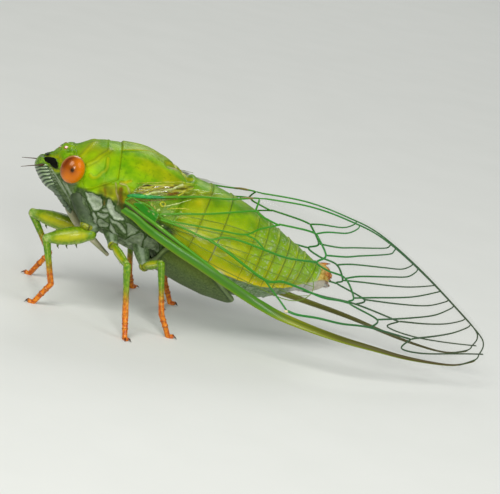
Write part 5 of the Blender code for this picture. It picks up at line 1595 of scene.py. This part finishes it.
hipMaterial, legMaterial = hipLook(), limbLook()
for name, joints in legs["joints"].items():
    pair, word = name.split("_")
    title = pair.title() + word.title()
    hip, hipEnd, knee, ankle, toe = (np.array(joint) for joint in joints)
    makeHip(name, pair, title, toFloor(hip), hipEnd, hipMaterial)
    makeThigh(name, pair, title, hipEnd, knee, legMaterial)
    makeShin(name, pair, title, knee, ankle, toe, legMaterial)
print("legs")

stage = {
    "floorRadius": 1.6,
    "floorRings": 24,
    "floorSides": 96,
    "floorColours": ((226, 228, 224), (214, 217, 212)),
    "worldColour": (0.86, 0.88, 0.86, 1),
    "worldStrength": 0.21,
    "lights": (  # place in metres, size, power, colour
        ((-0.20, -0.30, 0.42), 0.32, 1.9, (1.0, 0.98, 0.95)),
        ((0.03, -0.30, 0.125), 0.085, 0.42, (1.0, 1.0, 0.98)),
        ((0.35, -0.15, 0.30), 0.30, 0.5, (0.95, 0.97, 1.0)),
        ((0.05, 0.40, 0.32), 0.25, 0.55, (1.0, 1.0, 1.0)),
    ),
    "lightsAimAt": (0, 0, 0.01),
}


def makeFloor():
    rings, sides = stage["floorRings"], stage["floorSides"]
    radii = np.linspace(0.0001, stage["floorRadius"], rings)[:, None]
    turns = aroundCircle(sides)
    points = np.stack([radii * np.cos(turns), radii * np.sin(turns), np.zeros((rings, sides))], axis=2)
    mesh = bpy.data.meshes.new("paleFloor")
    mesh.from_pydata(points.reshape(-1, 3).tolist(), [], closeEnds(gridFaces(rings, sides), rings, sides)[:-1])
    floor = bpy.data.objects.new("paleFloor", mesh)
    bpy.context.scene.collection.objects.link(floor)
    look = Look("paleFloor", {"Roughness": 0.8, "Specular IOR Level": 0.2})
    mesh.materials.append(look.feed(Base_Color=look.mix(look.noise(9.0) * 0.5, *stage["floorColours"])))


def makeLight():
    scene = bpy.context.scene
    scene.view_settings.view_transform = "Standard"
    scene.view_settings.look = "None"
    scene.world = bpy.data.worlds.new("paleRoom")
    scene.world.use_nodes = True
    background = scene.world.node_tree.nodes["Background"]
    background.inputs["Color"].default_value = stage["worldColour"]
    background.inputs["Strength"].default_value = stage["worldStrength"]
    for k, (place, size, power, colour) in enumerate(stage["lights"]):
        lamp = bpy.data.lights.new("softLight" + str(k), "AREA")
        lamp.shape, lamp.size, lamp.energy, lamp.color = "DISK", size, power, colour
        shown = bpy.data.objects.new("softLight" + str(k), lamp)
        shown.location = place
        aim = Vector(stage["lightsAimAt"]) - Vector(place)
        shown.rotation_euler = aim.to_track_quat("-Z", "Y").to_euler()
        scene.collection.objects.link(shown)


makeFloor()
makeLight()

view = {
    "azimuth": -6.5,
    "elevation": 14.5,
    "roll": 13.634,
    "target": (22.611, -3.384, 10.298),  # in the legs' floor axes
    "distance": 220.0,
    "lens": 158.4,
}


def makeCamera():
    a, e, r = (math.radians(view[key]) for key in ("azimuth", "elevation", "roll"))
    back = Vector((math.sin(a) * math.cos(e), -math.cos(a) * math.cos(e), math.sin(e)))
    right = Vector((math.cos(a), math.sin(a), 0))
    up = back.cross(right)
    imageRight = right * math.cos(r) + up * math.sin(r)
    imageUp = up * math.cos(r) - right * math.sin(r)
    lens = bpy.data.cameras.new("photoCamera")
    lens.sensor_width, lens.lens, lens.clip_start = 36, view["lens"], 0.001
    camera = bpy.data.objects.new("photoCamera", lens)
    place = Vector(fromFloor(np.array(view["target"]))) + back * view["distance"] * millimetre
    camera.matrix_world = Matrix.Translation(place) @ Matrix((imageRight, imageUp, back)).transposed().to_4x4()
    bpy.context.scene.collection.objects.link(camera)
    bpy.context.scene.camera = camera


makeCamera()
print("stage, light and camera")
